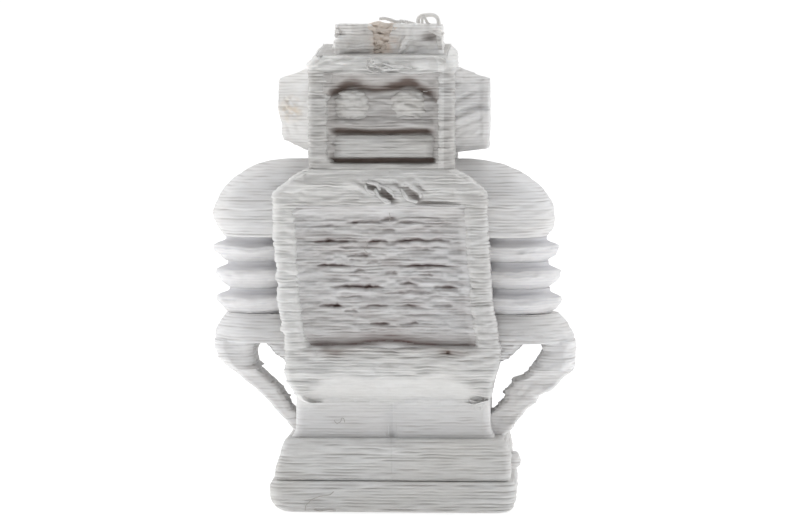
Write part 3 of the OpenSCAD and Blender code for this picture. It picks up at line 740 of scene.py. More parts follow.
# Relief of the chest, laid inside the recess: each dash has two ends, a height and a strength.
DASH = [(343, 384, 222, 0.85), (378, 400, 219.5, 0.6), (394, 425, 222, 0.7), (381, 395, 230, 0.35),
        (312, 358, 241, 1.0), (366, 387, 241.5, 0.7), (390, 452, 241, 1.0), (446, 464, 243, 0.3),
        (345, 372, 255, 0.7), (348, 362, 260, 0.4), (366, 379, 261.5, 0.4),
        (316, 351, 266, 0.9), (396, 462, 266, 0.9), (353, 367, 271, 0.5), (384, 398, 274, 0.5), (418, 434, 275, 0.5),
        (328, 384, 287, 1.1), (397, 419, 284.5, 0.75), (432, 458, 287, 0.85), (384, 437, 292, 0.5),
        (318, 345, 306, 1.0), (357, 389, 306, 0.9), (394, 427, 306.5, 0.5), (432, 453, 306, 0.7), (343, 357, 311, 0.5),
        (369, 390, 324, 0.9), (399, 419, 324, 0.75), (310, 345, 226, 0.25), (400, 455, 229, 0.15), (330, 380, 247, 0.35),
        (395, 440, 250, 0.3), (325, 352, 279, 0.3), (395, 450, 279, 0.25), (330, 372, 297, 0.3), (400, 450, 298, 0.25),
        (340, 380, 316, 0.25), (392, 440, 315, 0.25), (345, 420, 331, 0.15)]


def chest_slots(xs, z):
    f = np.zeros_like(xs)
    lip = np.zeros_like(xs)
    for a, b, p, k in DASH:
        zd0 = fz(p)
        if abs(z - zd0 + 0.2) > 1.2:
            continue
        m, hl = (fx(a) + fx(b)) / 2, (fx(b) - fx(a)) / 2
        u = (xs - m) / hl
        w = np.clip(1.25 * (1 - np.abs(u) ** 1.5), 0, 1) * (0.8 + 0.2 * np.cos(3 * u + p))
        zd = zd0 - 0.08 + 0.11 * vnoise(xs / 0.9, 0.5, p * 0.31, 61) + 0.07 * vnoise(xs / 0.35, 0.5, p * 0.77, 68) + 0.05 * w
        w = w * (1 + 0.55 * vnoise(xs / 0.45, 0.5, p * 0.57, 67))
        dz = z - zd
        f = f + k * w * np.where(dz < 0, np.exp(-(dz / 0.085) ** 2), np.exp(-(np.abs(dz) / np.clip(0.10 + 0.09 * w, 0.06, 1)) ** 1.6))
        lip = lip + k * w * (1.0 * bump1(z, zd - 0.30, 0.20) + 0.15 * bump1(z, zd + 0.55, 0.2))
    return f, lip


def bottom_arch(xs):
    return fz(346.5) + 0.50 * bump1(xs, fx(389), 2.6) + 0.03 * vnoise(xs / 0.8, 0.4, 0.2, 66)


def chest_relief(xs, z):
    f, lip = chest_slots(xs, z)
    f = 0.80 * f - 0.24 * lip
    # broad unevenness of the failed relief
    mid = ease(17.6, 18.6, z) * ease(30.2, 29.2, z)
    f = f + mid * (0.15 * vnoise(xs / 2.3, z / 0.46, 0.7, 62) + 0.15 * vnoise(xs / 0.9, z / 0.31, 0.9, 63) + 0.06 * vnoise(xs / 0.35, z / 0.25, 0.3, 64))
    x0, x1 = rec_lim(z)
    f = f - 0.52 * ease(x0 + 1.1, x0 - 0.1, xs) ** 1.6 - 0.52 * ease(x1 - 0.8, x1 + 0.1, xs) ** 1.6
    # soft upper lip: the ledge's underside runs down to the panel
    f = f - 0.80 * ease(29.5, 30.75, z) ** 1.5
    # the panel falls back to a dark crack, and swells under it at the middle
    arch = bottom_arch(xs)
    f = f + 0.55 * ease(1.3, 0.0, z - arch) * (z >= arch) + 0.55 * (z < arch) * np.exp(-((z - arch) / 0.16) ** 2)
    under = ease(0.06, 0.34, arch - z)
    m2 = bump1(xs, fx(391), 3.2)
    f = f - under * (0.62 * m2)
    return f


def chest_contour(z):
    x0, x1 = rec_lim(z)
    n = 160
    xs = np.linspace(x0 - 0.5, x1 + 0.5, n)
    yf = np.clip(-6.42 + chest_relief(xs, z), -7.15, -5.6)
    yb = -5.3
    back = np.column_stack([[xs[-1] + 0.1, xs[-1] + 0.1, (x0 + x1) / 2, xs[0] - 0.1, xs[0] - 0.1], [-6.1, yb, yb, yb, -6.1]])
    return np.concatenate([np.column_stack([xs, yf]), back])


# Painted shade on the chest relief: in the dashes, along the bottom crack and in a gradient above it, and in the
# panel's low spots.
def chest_dark(P, z, i):
    f, lip = chest_slots(P[:, 0], z)
    arch = bottom_arch(P[:, 0])
    kx = (0.45 + 0.45 * bump1(P[:, 0], fx(385), 4.5)) * (1 + 0.4 * vnoise(P[:, 0] / 1.3, 0.4, z / 0.3, 69))
    return 0.95 * f + kx * 0.62 * np.exp(-((z - arch - 0.04) / 0.20) ** 2) + kx * 0.42 * ease(1.5, 0.0, z - arch) * (z > arch) + 0.22 * np.clip(-vnoise(P[:, 0] / 2.3, z / 0.46, 0.7, 62) * -1, 0, 1) * ease(30.0, 29.0, z)


o = printed("chest_relief", chest_contour, 16.3, 30.9, amp=0.06, crev=0.085, seed=61, dark=chest_dark, cap_k=(1, 1), wave=0.10)
dress(o, "recess", "recess", "chest_panel", "chest_row_1", "chest_row_2", "chest_row_3", "chest_row_4",
      "chest_row_5", "chest_row_6", "belly_ridge")

# ------------------------------------------------------------------ head
HX, HHW = -0.98, 7.36
HZ0 = 34.4


def head_top(x, y):
    """The head's top rises to the back in steps, one for each layer."""
    t = (45.62 + 1.4 * (y + 6.9) / 12.5) / LH
    n = np.floor(t)
    return LH * (n + ease(0.15, 0.85, t - n)) + 0.05 * vnoise(x / 1.6, y / 0.6, 0.4, 71)


FX0, FX1, FZ0, FZ1 = -6.23, 4.65, 34.86, 44.0


def face_open(xs, z):
    r = 1.0
    dz = max(0.0, FZ0 + r - z, z - (FZ1 - r))
    if dz >= r:
        return np.zeros_like(xs)
    ins = r - math.sqrt(max(0.0, r * r - dz * dz))
    wob = 0.08 * vnoise(0.3, 0.2, z / LH, 92)
    side = ease(FX0 + ins - 0.30 + wob, FX0 + ins + 0.60 + wob, xs) * ease(FX1 - ins + 0.25 + wob, FX1 - ins - 0.35 + wob, xs)
    return side * float(ease(FZ1, FZ1 - 0.8, z)) * float(ease(FZ0, FZ0 + 0.25, z))


def head_front(xs, z):
    f = 2.15 * face_open(xs, z)
    if FZ0 + 0.2 < z < FZ1:
        f -= 0.14 * bump1(xs, FX1 + 0.38, 0.26)
        f -= 0.06 * bump1(xs, FX0 - 0.40, 0.35)
    f += 0.38 * float(ease(44.6, 45.75, z))
    return f


def head_contour(z):
    return block(HX - HHW, HX + HHW, -6.9, 5.6, 0.75, 156, 60, 8, front=lambda xs: head_front(xs, z))


def head_extra(P, N, z, i):
    x, y = P[:, 0], P[:, 1]
    fr = (y < -5.4) * 1.0
    out = 0.05 * vnoise(x / 1.9, y / 1.9, z / 0.42, 70)
    side = fr * (np.abs(x + 0.79) > 5.2) * ease(34.6, 36, z) * ease(44.4, 43.6, z)
    out = out + side * (0.08 * vnoise(x / 2.0, y, (z - 0.05 * x) / 0.40, 75) + 0.08 * vnoise(x / 0.8, y, z / 0.3, 76))
    # the band over the face: wavy and ragged
    w = fr * ease(43.7, 44.3, z)
    out = out + w * (0.34 * vnoise(x / 1.6, 0.3, (z - 0.10 * x) / 0.40, 72) + 0.13 * vnoise(x / 0.5, 0.3, z / 0.28, 79))
    # torn patch by the curl, and drooping threads to its right
    t = bump1(x, -0.6, 1.5) * bump1(z, 44.75, 0.62)
    out = out + fr * t * (0.28 * vnoise(x / 0.55, 0.3, (z + 0.3 * x) / 0.33, 73) - 0.10)
    t2 = ease(-0.2, 0.8, x) * ease(6.0, 4.4, x) * ease(44.0, 44.4, z) * ease(45.6, 45.2, z)
    out = out + fr * t2 * 0.15 * vnoise(x / 1.8, 0.2, (z - 0.22 * x) / 0.30, 74)
    return out


def head_post(V):
    """Clip to the stepped top and draw the top's edges in."""
    top = head_top(V[:, 0], V[:, 1])
    d = top - V[:, 2]
    k = 0.75 * ease(1.0, 0.0, d) ** 1.5
    u = (V[:, 0] - HX) / HHW
    V = V.copy()
    V[:, 0] -= k * u * np.abs(u)
    V[:, 2] = np.minimum(V[:, 2], top)
    return V


# the head gets painted light: paler on the band over the face and the top, and on a strip right of the face opening
o = printed("head_skin", head_contour, HZ0, 47.35, amp=0.065, crev=0.08, seed=71, extra=head_extra, cap_k=(6, 40), post=head_post,
            dark=lambda P, z, i: -0.75 * float(ease(43.9, 44.6, z)) - 0.25 * (P[:, 0] > FX1 + 0.1) * (P[:, 0] < FX1 + 0.7) * (P[:, 1] < -6))
dress(o, "head", "body", "head_shell", "face_frame")


def fxf(p):
    return (p - 394) / 9.97 + 0.37 - 0.02


def fzf(p):
    return 45.6 - (p - 57) * 0.0997


EYES = ((fxf(351.5), fzf(105.0)), (fxf(408.0), fzf(104.5)))


def brow(xs):
    """Height of the dark line over the eyes."""
    return (fzf(96.5) + 1.15 * bump1(xs, EYES[0][0], 1.9) + 1.25 * bump1(xs, EYES[1][0] - 0.1, 2.0) + 0.45 * bump1(xs, fxf(380), 1.5)
            - 0.45 * ease(fxf(425), fxf(438), xs) - 0.35 * ease(fxf(336), fxf(326), xs) + 0.05 * vnoise(xs / 0.8, 0.5, 3.1, 81))


def face_slots(xs, z):
    """The dark lines of the face: over the eyes, over the mouth and under it."""
    b = brow(xs) - 0.08
    over = bump1(xs, EYES[0][0] - 0.1, 2.3) + bump1(xs, EYES[1][0], 2.4)
    dz = z - b
    g = 1.08 + 0.45 * vnoise(xs / 1.3, 0.4, z / 0.33, 85)
    a = np.clip(0.30 + 0.75 * over, 0, 1) * g * np.where(dz < 0, np.exp(-(dz / 0.30) ** 2), np.exp(-(np.abs(dz) / 0.58) ** 1.7))
    side = ease(fxf(327), fxf(338), xs) * ease(fxf(437), fxf(424), xs)
    sl = fzf(131.5) + 0.05 * vnoise(xs / 1.4, 0.5, 8.8, 82) - 0.12 * bump1(xs, fxf(383), 2.2)
    m = side * np.exp(-np.abs((z - sl) / 0.27) ** 2.2)
    side2 = ease(fxf(325), fxf(330), xs) * ease(fxf(437), fxf(431), xs)
    bz_ = fzf(161.0) - 0.10 * (1 - side2)
    u = side2 * np.exp(-np.abs((z - bz_) / 0.30) ** 2.4)
    return a, m, u


def face_y(xs, z):
    a, m, u = face_slots(xs, z)
    y = np.full_like(xs, -6.0)
    # forehead stands forward of the dark line
    up = ease(0.0, 0.85, z - brow(xs))
    y = y - 0.42 * up - 0.42 * ease(42.9, 44.0, z) ** 1.4
    y = y + 0.42 * a + 0.52 * m + 0.50 * u
    y = y - 0.62 * ease(FX0 + 0.9, FX0 - 0.10, xs) ** 1.6 - 0.62 * ease(FX1 - 0.7, FX1 + 0.10, xs) ** 1.6
    y = y - 0.30 * bump1(z, fzf(124), 0.50) * ease(fxf(328), fxf(338), xs) * ease(fxf(437), fxf(427), xs)
    y = y + 0.12 * vnoise(xs / 1.8, z / 0.40, 0.7, 83) + 0.13 * vnoise(xs / 0.7, z / 0.3, 0.8, 84)
    # shallow hollows beside and between the eyes
    return y


# Painted shade in the face's slots over the eyes, over the mouth and under it, and a little everywhere.
def face_dark(P, z, i):
    a, m, u = face_slots(P[:, 0], z)
    return np.clip(0.98 * a + 1.0 * m + 1.0 * u + 0.07 + 0.10 * vnoise(P[:, 0] / 1.5, z / 0.33, 0.6, 98), 0, 1)


def face_contour(z):
    xs = np.linspace(FX0 - 0.5, FX1 + 0.5, 132)
    yf = np.clip(face_y(xs, z), -6.95, -5.40)
    e0, e1 = xs[0] - 0.1, xs[-1] + 0.1
    back = np.column_stack([[e1, e1, (e0 + e1) / 2, e0, e0], [-5.7, -4.9, -4.9, -4.9, -5.7]])
    return np.concatenate([np.column_stack([xs, yf]), back])


o = printed("face_relief", face_contour, 34.8, 44.05, amp=0.06, crev=0.085, seed=81, dark=face_dark, cap_k=(1, 1))
dress(o, "face", "recess", "face_panel")

for k, nm in ((0, "left"), (1, "right")):
    ex, ez = EYES[k]

    def eye_contour(z, ex=ex, ez=ez):
        xs = np.linspace(ex - 1.90, ex + 1.90, 64)
        u = (xs - ex) / 1.80
        v = (z - ez) / (1.52 if z > ez else 1.75)
        r2 = np.abs(u) ** 2.3 + abs(v) ** 2.3 + 0.10 * vnoise(xs / 0.5, z / 0.3, 0.2, 97)
        dome = 0.82 * np.clip(1 - r2, 0, 1) ** (0.50 + 0.60 * float(ease(0.7, -0.3, v)))
        dome = dome * (0.30 + 0.70 * float(ease(-1.0, 0.3, v)))
        yf = -5.88 - dome + 0.35 * ease(0.92, 1.12, r2)
        return np.concatenate([np.column_stack([xs, yf]), [[ex + 1.9, -5.2], [ex - 1.9, -5.2]]])

    def eye_extra(P, N, z, i, k=k):
        fr = (P[:, 1] < -5.9) * 1.0
        sl = 0.12 if k == 0 else 0.28
        return fr * (0.17 * vnoise(P[:, 0] / 1.1, 0.2, (z + sl * P[:, 0]) / 0.36, 86 + k) + 0.09 * vnoise(P[:, 0] / 0.4, 0.2, z / 0.25, 88 + k))

    # each eye gets painted shade low down and at its sides, and painted light over its top
    o = printed(nm + "_eye_dome", eye_contour, ez - 1.72, ez + 1.50, amp=0.05, crev=0.07, seed=86 + k, extra=eye_extra, cap_k=(0, 0),
                dark=lambda P, z, i, ez=ez, ex=ex: 0.06 * ease(0.3, -1.6, z - ez) + 0.12 * ease(1.2, 1.8, np.abs(P[:, 0] - ex)) - 0.22 * ease(0.2, 1.2, z - ez) + 0.12 * vnoise(P[:, 0] / 0.8, 0.3, z / 0.28, 99))
    dress(o, "eye", "body", nm + "_eye")


def mouth_contour(z):
    zc, hz = fzf(146.5), 1.12
    t = min(1.0, abs(z - zc) / hz)
    xs = np.linspace(fxf(326), fxf(441), 120)
    ends = ease(fxf(327), fxf(345), xs) * ease(fxf(440), fxf(424), xs)
    bulge = 0.62 * (1 - t ** 3.0) ** 0.5
    # the upper edge dips left of the middle
    dip = 0.14 * bump1(xs, fxf(383), 2.2) * float(ease(0.2, 1.0, (z - zc) / hz))
    lipz = 0.10 * math.exp(-((z - fzf(154.5)) / 0.22) ** 2)
    yf = -6.02 - (bulge + lipz - dip) * ends + 0.30 * (1 - ends)
    return np.concatenate([np.column_stack([xs, yf]), [[xs[-1], -5.5], [xs[0], -5.5]]])


o = printed("mouth_bar_skin", mouth_contour, fzf(157.7), fzf(135.4), amp=0.07, crev=0.08, seed=88, cap_k=(0, 0),
            extra=lambda P, N, z, i: (P[:, 1] < -5.8) * 0.08 * vnoise(P[:, 0] / 1.3, 0.2, z / 0.3, 89))
dress(o, "eye", "body", "mouth_bar")

# ------------------------------------------------------------------ ears
for s, nm, sd in ((-1, "left", 95), (1, "right", 96)):
    EZ = 40.3
    xr = HX + s * HHW

    def ear_contour(z, s=s, xr=xr):
        dz = z - EZ
        R1 = 4.35
        if s > 0:
            R2 = 3.15 if dz > 0 else 4.0
            EL = 3.25 - 0.10 * max(0.0, -dz - 2.5)
        else:
            R2 = 3.15 if dz > 0 else 3.2
            EL = 3.25 - 0.11 * max(0.0, 1.0 - dz)
        a = abs(dz)
        reach = EL if a < R2 else EL * max(0.02, (R1 - a) / (R1 - R2))
        u = np.linspace(-0.12, 1, 34) * reach
        w = np.sqrt(np.clip((R1 + (R2 - R1) * np.clip(u, 0, EL) / EL) ** 2 - a * a, 0.003, None))
        x = xr + s * u
        k = np.linspace(1, -1, 30)[1:-1]
        end = np.column_stack([np.full(28, x[-1]) - s * 0.12 * k ** 4, -0.5 - w[-1] * k])
        P = np.concatenate([np.column_stack([x, -0.5 - w]), end, np.column_stack([x[::-1], -0.5 + w[::-1]])])
        return P if s > 0 else P[::-1]

    def ear_extra(P, N, z, i, s=s, sd=sd, xr=xr):
        x, y = P[:, 0], P[:, 1]
        if s > 0:
            # beads that climb to a proud outer rim
            u = (z - 0.42 * (x - xr))
            d = 0.32 * vnoise(x / 2.6, y / 1.5, u / 0.40, sd) + 0.10 * vnoise(x / 0.6, y, u / 0.3, sd + 2)
            d = d * ease(xr + 2.9, xr + 2.5, x) + 0.14 * ease(xr + 2.5, xr + 2.75, x)
            d = d + ease(37.6, 36.6, z) * 0.14 * vnoise(x / 0.8, y / 0.8, z / 0.6, sd + 1)
        else:
            d = 0.12 * vnoise(x / 1.1, y / 1.1, z / 0.36, sd)
            spot = bump1(x, -10.3, 1.2) * bump1(z, 40.4, 1.0) * (y < 0)
            d = d + spot * 0.24 * vnoise(x / 0.35, y / 0.35, z / 0.3, sd + 3)
            # drooping threads under it
            low = ease(39.6, 38.8, z)
            d = d + low * 0.13 * vnoise((x + 0.25 * z) / 0.42, y / 0.8, z / 2.2, sd + 4)
        return d

    o = printed(nm + "_ear_skin", ear_contour, EZ - 4.30, EZ + 4.3, amp=0.03, crev=0.02, seed=sd, extra=ear_extra, cap_k=(2, 2))
    dress(o, "ear" if s < 0 else "ear_r", "body", nm + "_ear")

# ------------------------------------------------------------------ cap block with its torn front
CX0, CHW, CHD = -0.44, 5.38, 4.2
CTOP = 48.9


def gap_edges(z):
    """Left and right edge of the tear in the cap's front wall."""
    t = np.clip((z - 45.9) / 3.0, 0, 1)
    a = fxf(373) - 0.2 * t + 0.14 * float(vnoise(z / 0.33, 0.3, 0.2, 101))
    b = fxf(381) + 1.2 * t + 0.22 * float(vnoise(z / 0.33, 0.9, 0.2, 102))
    return a, b


def cap_contour(z):
    a, b = gap_edges(z)
    fl = 0.25 * float(ease(47.2, 46.3, z))          # the foot of the block flares out a little
    L_, R_ = CX0 - CHW - fl, CX0 + CHW + fl * 0.6

    def line(p, q, m):
        t = np.linspace(0, 1, m, endpoint=False)[:, None]
        return np.asarray(p) * (1 - t) + np.asarray(q) * t

    y0, y1, w, r = -CHD, CHD, 0.8, 0.35
    parts = [
        line((b, y0), (R_ - r, y0), 60), line((R_ - r, y0), (R_, y0 + r), 4),
        line((R_, y0 + r), (R_, y1 - r), 40), line((R_, y1 - r), (R_ - r, y1), 4),
        line((R_ - r, y1), (L_ + r, y1), 60), line((L_ + r, y1), (L_, y1 - r), 4),
        line((L_, y1 - r), (L_, y0 + r), 40), line((L_, y0 + r), (L_ + r, y0), 4),
        line((L_ + r, y0), (a, y0), 46), line((a, y0), (a - 0.1, y0 + w), 6),
        line((a - 0.1, y0 + w), (L_ + w, y0 + w), 14), line((L_ + w, y0 + w), (L_ + w, y1 - w), 12),
        line((L_ + w, y1 - w), (R_ - w, y1 - w), 14), line((R_ - w, y1 - w), (R_ - w, y0 + w), 12),
        line((R_ - w, y0 + w), (b + 0.1, y0 + w), 14), line((b + 0.1, y0 + w), (b, y0), 6)]
    return np.concatenate(parts)


def cap_fan(x, z):
    """Right of the tear the beads fan up from the tear's foot."""
    ang = np.arctan2(z - 45.2, x - 0.2)
    return ang


def cap_extra(P, N, z, i):
    x, y = P[:, 0], P[:, 1]
    fr = (y < -3.9) * 1.0
    right = ease(0.2, 1.2, x) * fr
    left = ease(-1.6, -2.6, x) * fr
    ang = cap_fan(x, z)
    d = right * (0.46 * vnoise(ang * 7.5, (x + z) / 3.0, 0.2, 103) + 0.10 * vnoise(x / 0.4, z / 0.3, 0.4, 104))
    d = d + left * (0.40 * vnoise(x / 1.3, (z - 0.10 * x) / 0.40, 0.9, 105) + 0.10 * vnoise(x / 0.4, z / 0.3, 0.2, 106))
    d = d + (1 - fr) * 0.08 * vnoise(x / 1.2, y / 1.2, z / 0.4, 108)
    hole = bump1(x, 3.9, 0.95) * bump1(z, 47.6, 0.50) * fr
    return d - 0.75 * hole


# Painted shade in the hole right of the tear and in the low spots of the beads left of it.
def cap_dark(P, z, i):
    x, y = P[:, 0], P[:, 1]
    fr = (y < -3.0) * 1.0
    return fr * (0.65 * bump1(x, 3.9, 0.9) * bump1(z, 47.6, 0.5) + 0.10 * np.clip(vnoise(x / 1.3, (z - 0.1 * x) / 0.4, 0.9, 105), -1, 0) * -1)


o = printed("cap_wall", cap_contour, 45.9, 48.9, amp=0.08, crev=0.065, seed=107, extra=cap_extra, dark=cap_dark, cap_k=(0, 0), wave=0.30, split=262)
dress(o, "cap", "cap", "head_cap")


# Roof of the cap: torn at the front middle and sagging.
def roof():
    nx, ny = 150, 110
    xs = np.linspace(CX0 - CHW + 0.25, CX0 + CHW - 0.25, nx)
    ys = np.linspace(-CHD + 0.35, CHD - 0.25, ny)
    X, Y = np.meshgrid(xs, ys, indexing="ij")
    edge = np.minimum(np.minimum(X - xs[0], xs[-1] - X), np.minimum(Y - ys[0], ys[-1] - Y))
    sag = -0.35 * bump1(X, -0.6, 1.4) * bump1(Y, -4.0, 1.8) - 0.25 * bump1(X, 4.2, 1.0) * bump1(Y, -4.0, 1.2)
    top = CTOP + 0.09 + 0.06 * raster(X, Y, 1) + 0.07 * vnoise(X / 1.3, Y / 1.3, 0.5, 111) + sag - 0.14 * (1 - ease(0, 0.2, edge))
    bot = CTOP - 0.42 + sag + 0.05 * vnoise(X / 0.8, Y / 0.8, 2.5, 112)
    rag = 0.30 * vnoise(X / 0.5, 0.3, 0.9, 113)
    Yd = Y + np.where(Y < -3.4, (rag + 0.5 * bump1(X, -0.6, 1.2)) * ease(-3.2, -3.85, Y), 0)
    V = np.concatenate([np.stack([X, Yd, top], -1).reshape(-1, 3), np.stack([X, Yd, bot], -1).reshape(-1, 3)])
    idx = np.arange(nx * ny).reshape(nx, ny)
    q1 = np.stack([idx[:-1, :-1], idx[1:, :-1], idx[1:, 1:], idx[:-1, 1:]], -1).reshape(-1, 4)
    q2 = q1[:, ::-1] + nx * ny
    rim = np.concatenate([idx[:, 0], idx[-1, 1:], idx[-2::-1, -1], idx[0, -2:0:-1]])
    rn = np.roll(rim, -1)
    q3 = np.stack([rim + nx * ny, rn + nx * ny, rn, rim], -1)
    return put_mesh("cap_roof", V, np.concatenate([q1, q2, q3]))


o = dress(roof(), "cap", "cap")


# Tan threads seen inside the tear.
def inner_threads():
    rng = np.random.default_rng(5)
    paths = []
    for k in range(30):
        z = 46.0 + 2.8 * k / 29
        a, b = gap_edges(z)
        y = -3.85 + 0.35 * rng.random()
        xs = np.linspace(a - 0.6, b + 0.6, 9)
        paths.append(([(x, y + 0.15 * rng.standard_normal(), z + 0.08 * rng.standard_normal() + 0.18 * math.sin(x * 1.7 + k)) for x in xs], 0.16 + 0.06 * rng.random()))
    return strands("cap_inner_threads", paths, 0.18, 8)


o = dress(inner_threads(), "inner", "inner_grid", "cap_infill")

# ------------------------------------------------------------------ arms
AX = 12.9
SH = {-1: ((27.3, 16.25), (27.97, 16.6), (28.6, 17.05), (29.2, 17.36), (29.82, 17.45), (30.43, 17.28), (31.04, 17.0), (31.66, 16.72), (32.27, 16.32),
           (32.9, 15.8), (33.5, 15.1), (34.11, 14.15), (34.73, 13.0), (35.1, 11.6), (35.3, 9.8)),
      1: ((27.3, 16.6), (27.97, 17.2), (28.6, 17.42), (29.2, 17.48), (29.82, 17.48), (30.43, 17.38), (31.04, 17.16), (31.66, 16.75), (32.27, 16.25),
          (32.9, 15.6), (33.5, 14.8), (34.11, 13.85), (34.73, 12.3), (35.1, 10.6), (35.3, 8.8))}
ST = {-1: (((7.3, 9.75), (7.9, 10.35), (8.5, 10.85), (9.1, 11.4), (9.75, 11.98), (10.4, 12.6), (11.0, 13.2), (11.6, 13.85), (12.2, 14.5), (12.8, 15.25), (13.43, 16.0), (14.0, 16.85)),
           ((7.3, 9.3), (9.2, 9.6), (10.0, 10.5), (10.6, 10.8), (11.2, 11.15), (11.8, 11.6), (12.4, 12.2), (13.06, 12.9), (13.67, 13.55), (14.3, 14.1))),
      1: (((7.3, 11.4), (7.5, 11.6), (8.14, 12.3), (8.75, 12.85), (9.37, 13.25), (10.0, 13.65), (10.6, 14.6), (11.2, 14.7), (11.55, 15.3), (11.8, 16.1), (12.4, 16.7), (13.06, 17.2), (13.67, 18.0), (14.0, 18.3)),
          ((7.3, 9.3), (9.4, 9.6), (10.0, 10.6), (10.4, 11.0), (11.0, 11.4), (11.6, 11.3), (12.2, 11.9), (12.6, 12.05), (12.85, 12.3), (13.1, 13.3), (13.43, 13.75), (14.04, 13.95), (14.65, 14.4)))}
for s, nm, sd in ((-1, "left", 121), (1, "right", 141)):
    def shoulder_contour(z, s=s):
        xo = tab(z, *SH[s])
        yd = 5.25 if z < 30.3 else 5.3 * math.sqrt(max(0.02, 1 - ((z - 30.0) / 5.6) ** 2))
        if z < 28.3:
            yd -= 0.16 * (28.3 - z) ** 2
        xi = tab(z, (27.4, 9.7), (31.5, 9.7), (33.0, 7.2), (35.3, 6.6))
        n = 74
        th = np.linspace(-np.pi / 2, np.pi / 2, n)
        e = 0.78
        m = min(xi + 1.3, xo - 0.5)
        X = m + (xo - m) * np.sign(np.cos(th)) * np.abs(np.cos(th)) ** e
        Y = yd * np.sign(np.sin(th)) * np.abs(np.sin(th)) ** e
        k = 14
        P = np.concatenate([np.column_stack([np.linspace(xi, X[0], k, endpoint=False), np.full(k, -yd)]),
                            np.column_stack([X, Y]),
                            np.column_stack([np.linspace(X[-1], xi, k + 1)[1:], np.full(k, yd)])])
        P[:, 0] = cx(30) + s * P[:, 0]
        return P if s > 0 else P[::-1]

    def shoulder_extra(P, N, z, i, s=s, sd=sd):
        x, y = P[:, 0], P[:, 1]
        d = 0.08 * vnoise(x / 1.6, y / 1.6, z / 0.4, sd + 3)
        if s > 0:
            k = ease(32.4, 31.4, z)
            d = d + k * 0.13 * vnoise(x / 1.5, y / 1.5, (z + 0.12 * x) / 0.42, sd + 4)
        d = d * ease(35.3, 34.0, z)
        return d

    o = printed(nm + "_shoulder_skin", shoulder_contour, 27.4, 35.25, amp=0.036, crev=0.06, seed=sd, extra=shoulder_extra, cap_k=(4, 4))
    dress(o, "arm", "body", nm + "_shoulder")

    # bellows ridges: a groove wall, then a flared rim, then a taper to the next groove
    bz = [27.4, 24.9, 22.2, 19.55]
    for j in range(3):
        top, bot = bz[j], bz[j + 1]

        def ring_contour(z, top=top, bot=bot, s=s, j=j):
            g, r = (3.40, 4.68) if s < 0 else (3.62, 4.80)
            t = top - z
            if t < 1.02:
                R = g + (r - g) * float(ease(0.28, 1.02, t)) ** 1.2
            elif t < 1.35 or s > 0 and t < 1.6:
                R = r
            else:
                t0 = 1.35 if s < 0 else 1.6
                R = r - (r - g) * ((t - t0) / (top - bot - t0)) ** 1.15
            return disc(cx((top + bot) / 2) + s * AX, 0, R, 176)

        def ring_extra(P, N, z, i, top=top, sd=sd, j=j):
            below = ease(0.75, 1.05, top - z)
            return below * (0.14 * vnoise(P[:, 0] / 1.2, P[:, 1] / 1.2, z / 0.34, sd + 20 + j) + 0.06 * vnoise(P[:, 0] / 0.35, P[:, 1] / 0.35, i * 1.0, sd + 25 + j))

        # painted shade on the groove wall under each ridge
        o = printed("%s_bellows_%d_skin" % (nm, j + 1), ring_contour, bot, top, amp=0.035, crev=0.03, seed=sd + 5 + j, extra=ring_extra, cap_k=(3, 3),
                    dark=lambda P, z, i, top=top: 0.25 * float(ease(1.0, 0.6, top - z)), wave=0.14)
        dress(o, "bellows", "body", "%s_bellows_%d" % (nm, j + 1))

    def cuff_contour(z, s=s):
        t = np.interp(z, [16.7, 17.8, 18.8, 19.3, 19.55], [5.60, 5.35, 4.75, 4.35, 4.1])
        return disc(0.06 + s * AX + s * 0.02 + 0.5 * (cx(z) - 0.06), 0, t, 180)

    def cuff_extra(P, N, z, i, s=s, sd=sd):
        d = 0.06 * vnoise(P[:, 0] / 1.3, P[:, 1] / 1.3, z / 0.36, sd + 31)
        if s > 0:
            d = d + 0.17 * ease(18.8, 18.0, z) * vnoise(P[:, 0] / 1.3, P[:, 1], (z + 0.45 * np.abs(P[:, 0] - 12.5)) / 0.5, sd + 32)
        return d

    o = printed(nm + "_cuff_skin", cuff_contour, 16.75, 19.6, amp=0.05, crev=0.05, seed=sd + 11, extra=cuff_extra, cap_k=(12, 3), line=0.08, wave=0.13)
    dress(o, "arm", "body", nm + "_cuff")

    def finger_contour(z, s=s):
        if s < 0:
            xo = np.interp(z, [13.9, 14.4, 15.2, 16.2, 16.8], [16.8, 17.45, 18.1, 18.42, 18.45])
            xi = np.interp(z, [13.9, 14.3, 14.9, 15.5, 16.8], [13.6, 14.15, 14.2, 14.25, 14.0])
        else:
            xo = np.interp(z, [13.9, 14.3, 14.9, 16.1, 16.8], [18.2, 18.4, 18.5, 18.55, 18.45])
            xi = np.interp(z, [13.9, 14.65, 15.26, 15.9, 16.8], [13.9, 14.45, 14.8, 15.2, 15.0])
        P = block(xi, xo, -4.1, 4.1, 1.3, 26, 40, 8)
        k = ease((xi + xo) / 2, xo, P[:, 0])
        P[:, 0] -= k * 0.55 * (P[:, 1] / 4.1) ** 2
        P[:, 0] = 0.06 + s * P[:, 0]
        return P if s > 0 else P[::-1]

    def finger_extra(P, N, z, i, s=s, sd=sd):
        inn = N[:, 0] * s < -0.4
        d = inn * (0.12 * vnoise(P[:, 1] / 0.6, i * 1.0, 0.5, sd + 41))
        d = d + 0.06 * vnoise(P[:, 0] / 1.2, P[:, 1] / 1.2, z / 0.36, sd + 43)
        if s > 0:
            d = d + 0.17 * vnoise(P[:, 0] / 1.2, P[:, 1] / 1.6, (z - 0.5 * P[:, 0]) / 0.6, sd + 42)
        return d

    o = printed(nm + "_outer_finger_skin", finger_contour, 13.95, 16.9, amp=0.05, crev=0.05, seed=sd + 12, extra=finger_extra, cap_k=(2, 2), wave=0.13)
    dress(o, "arm", "body", nm + "_outer_finger")

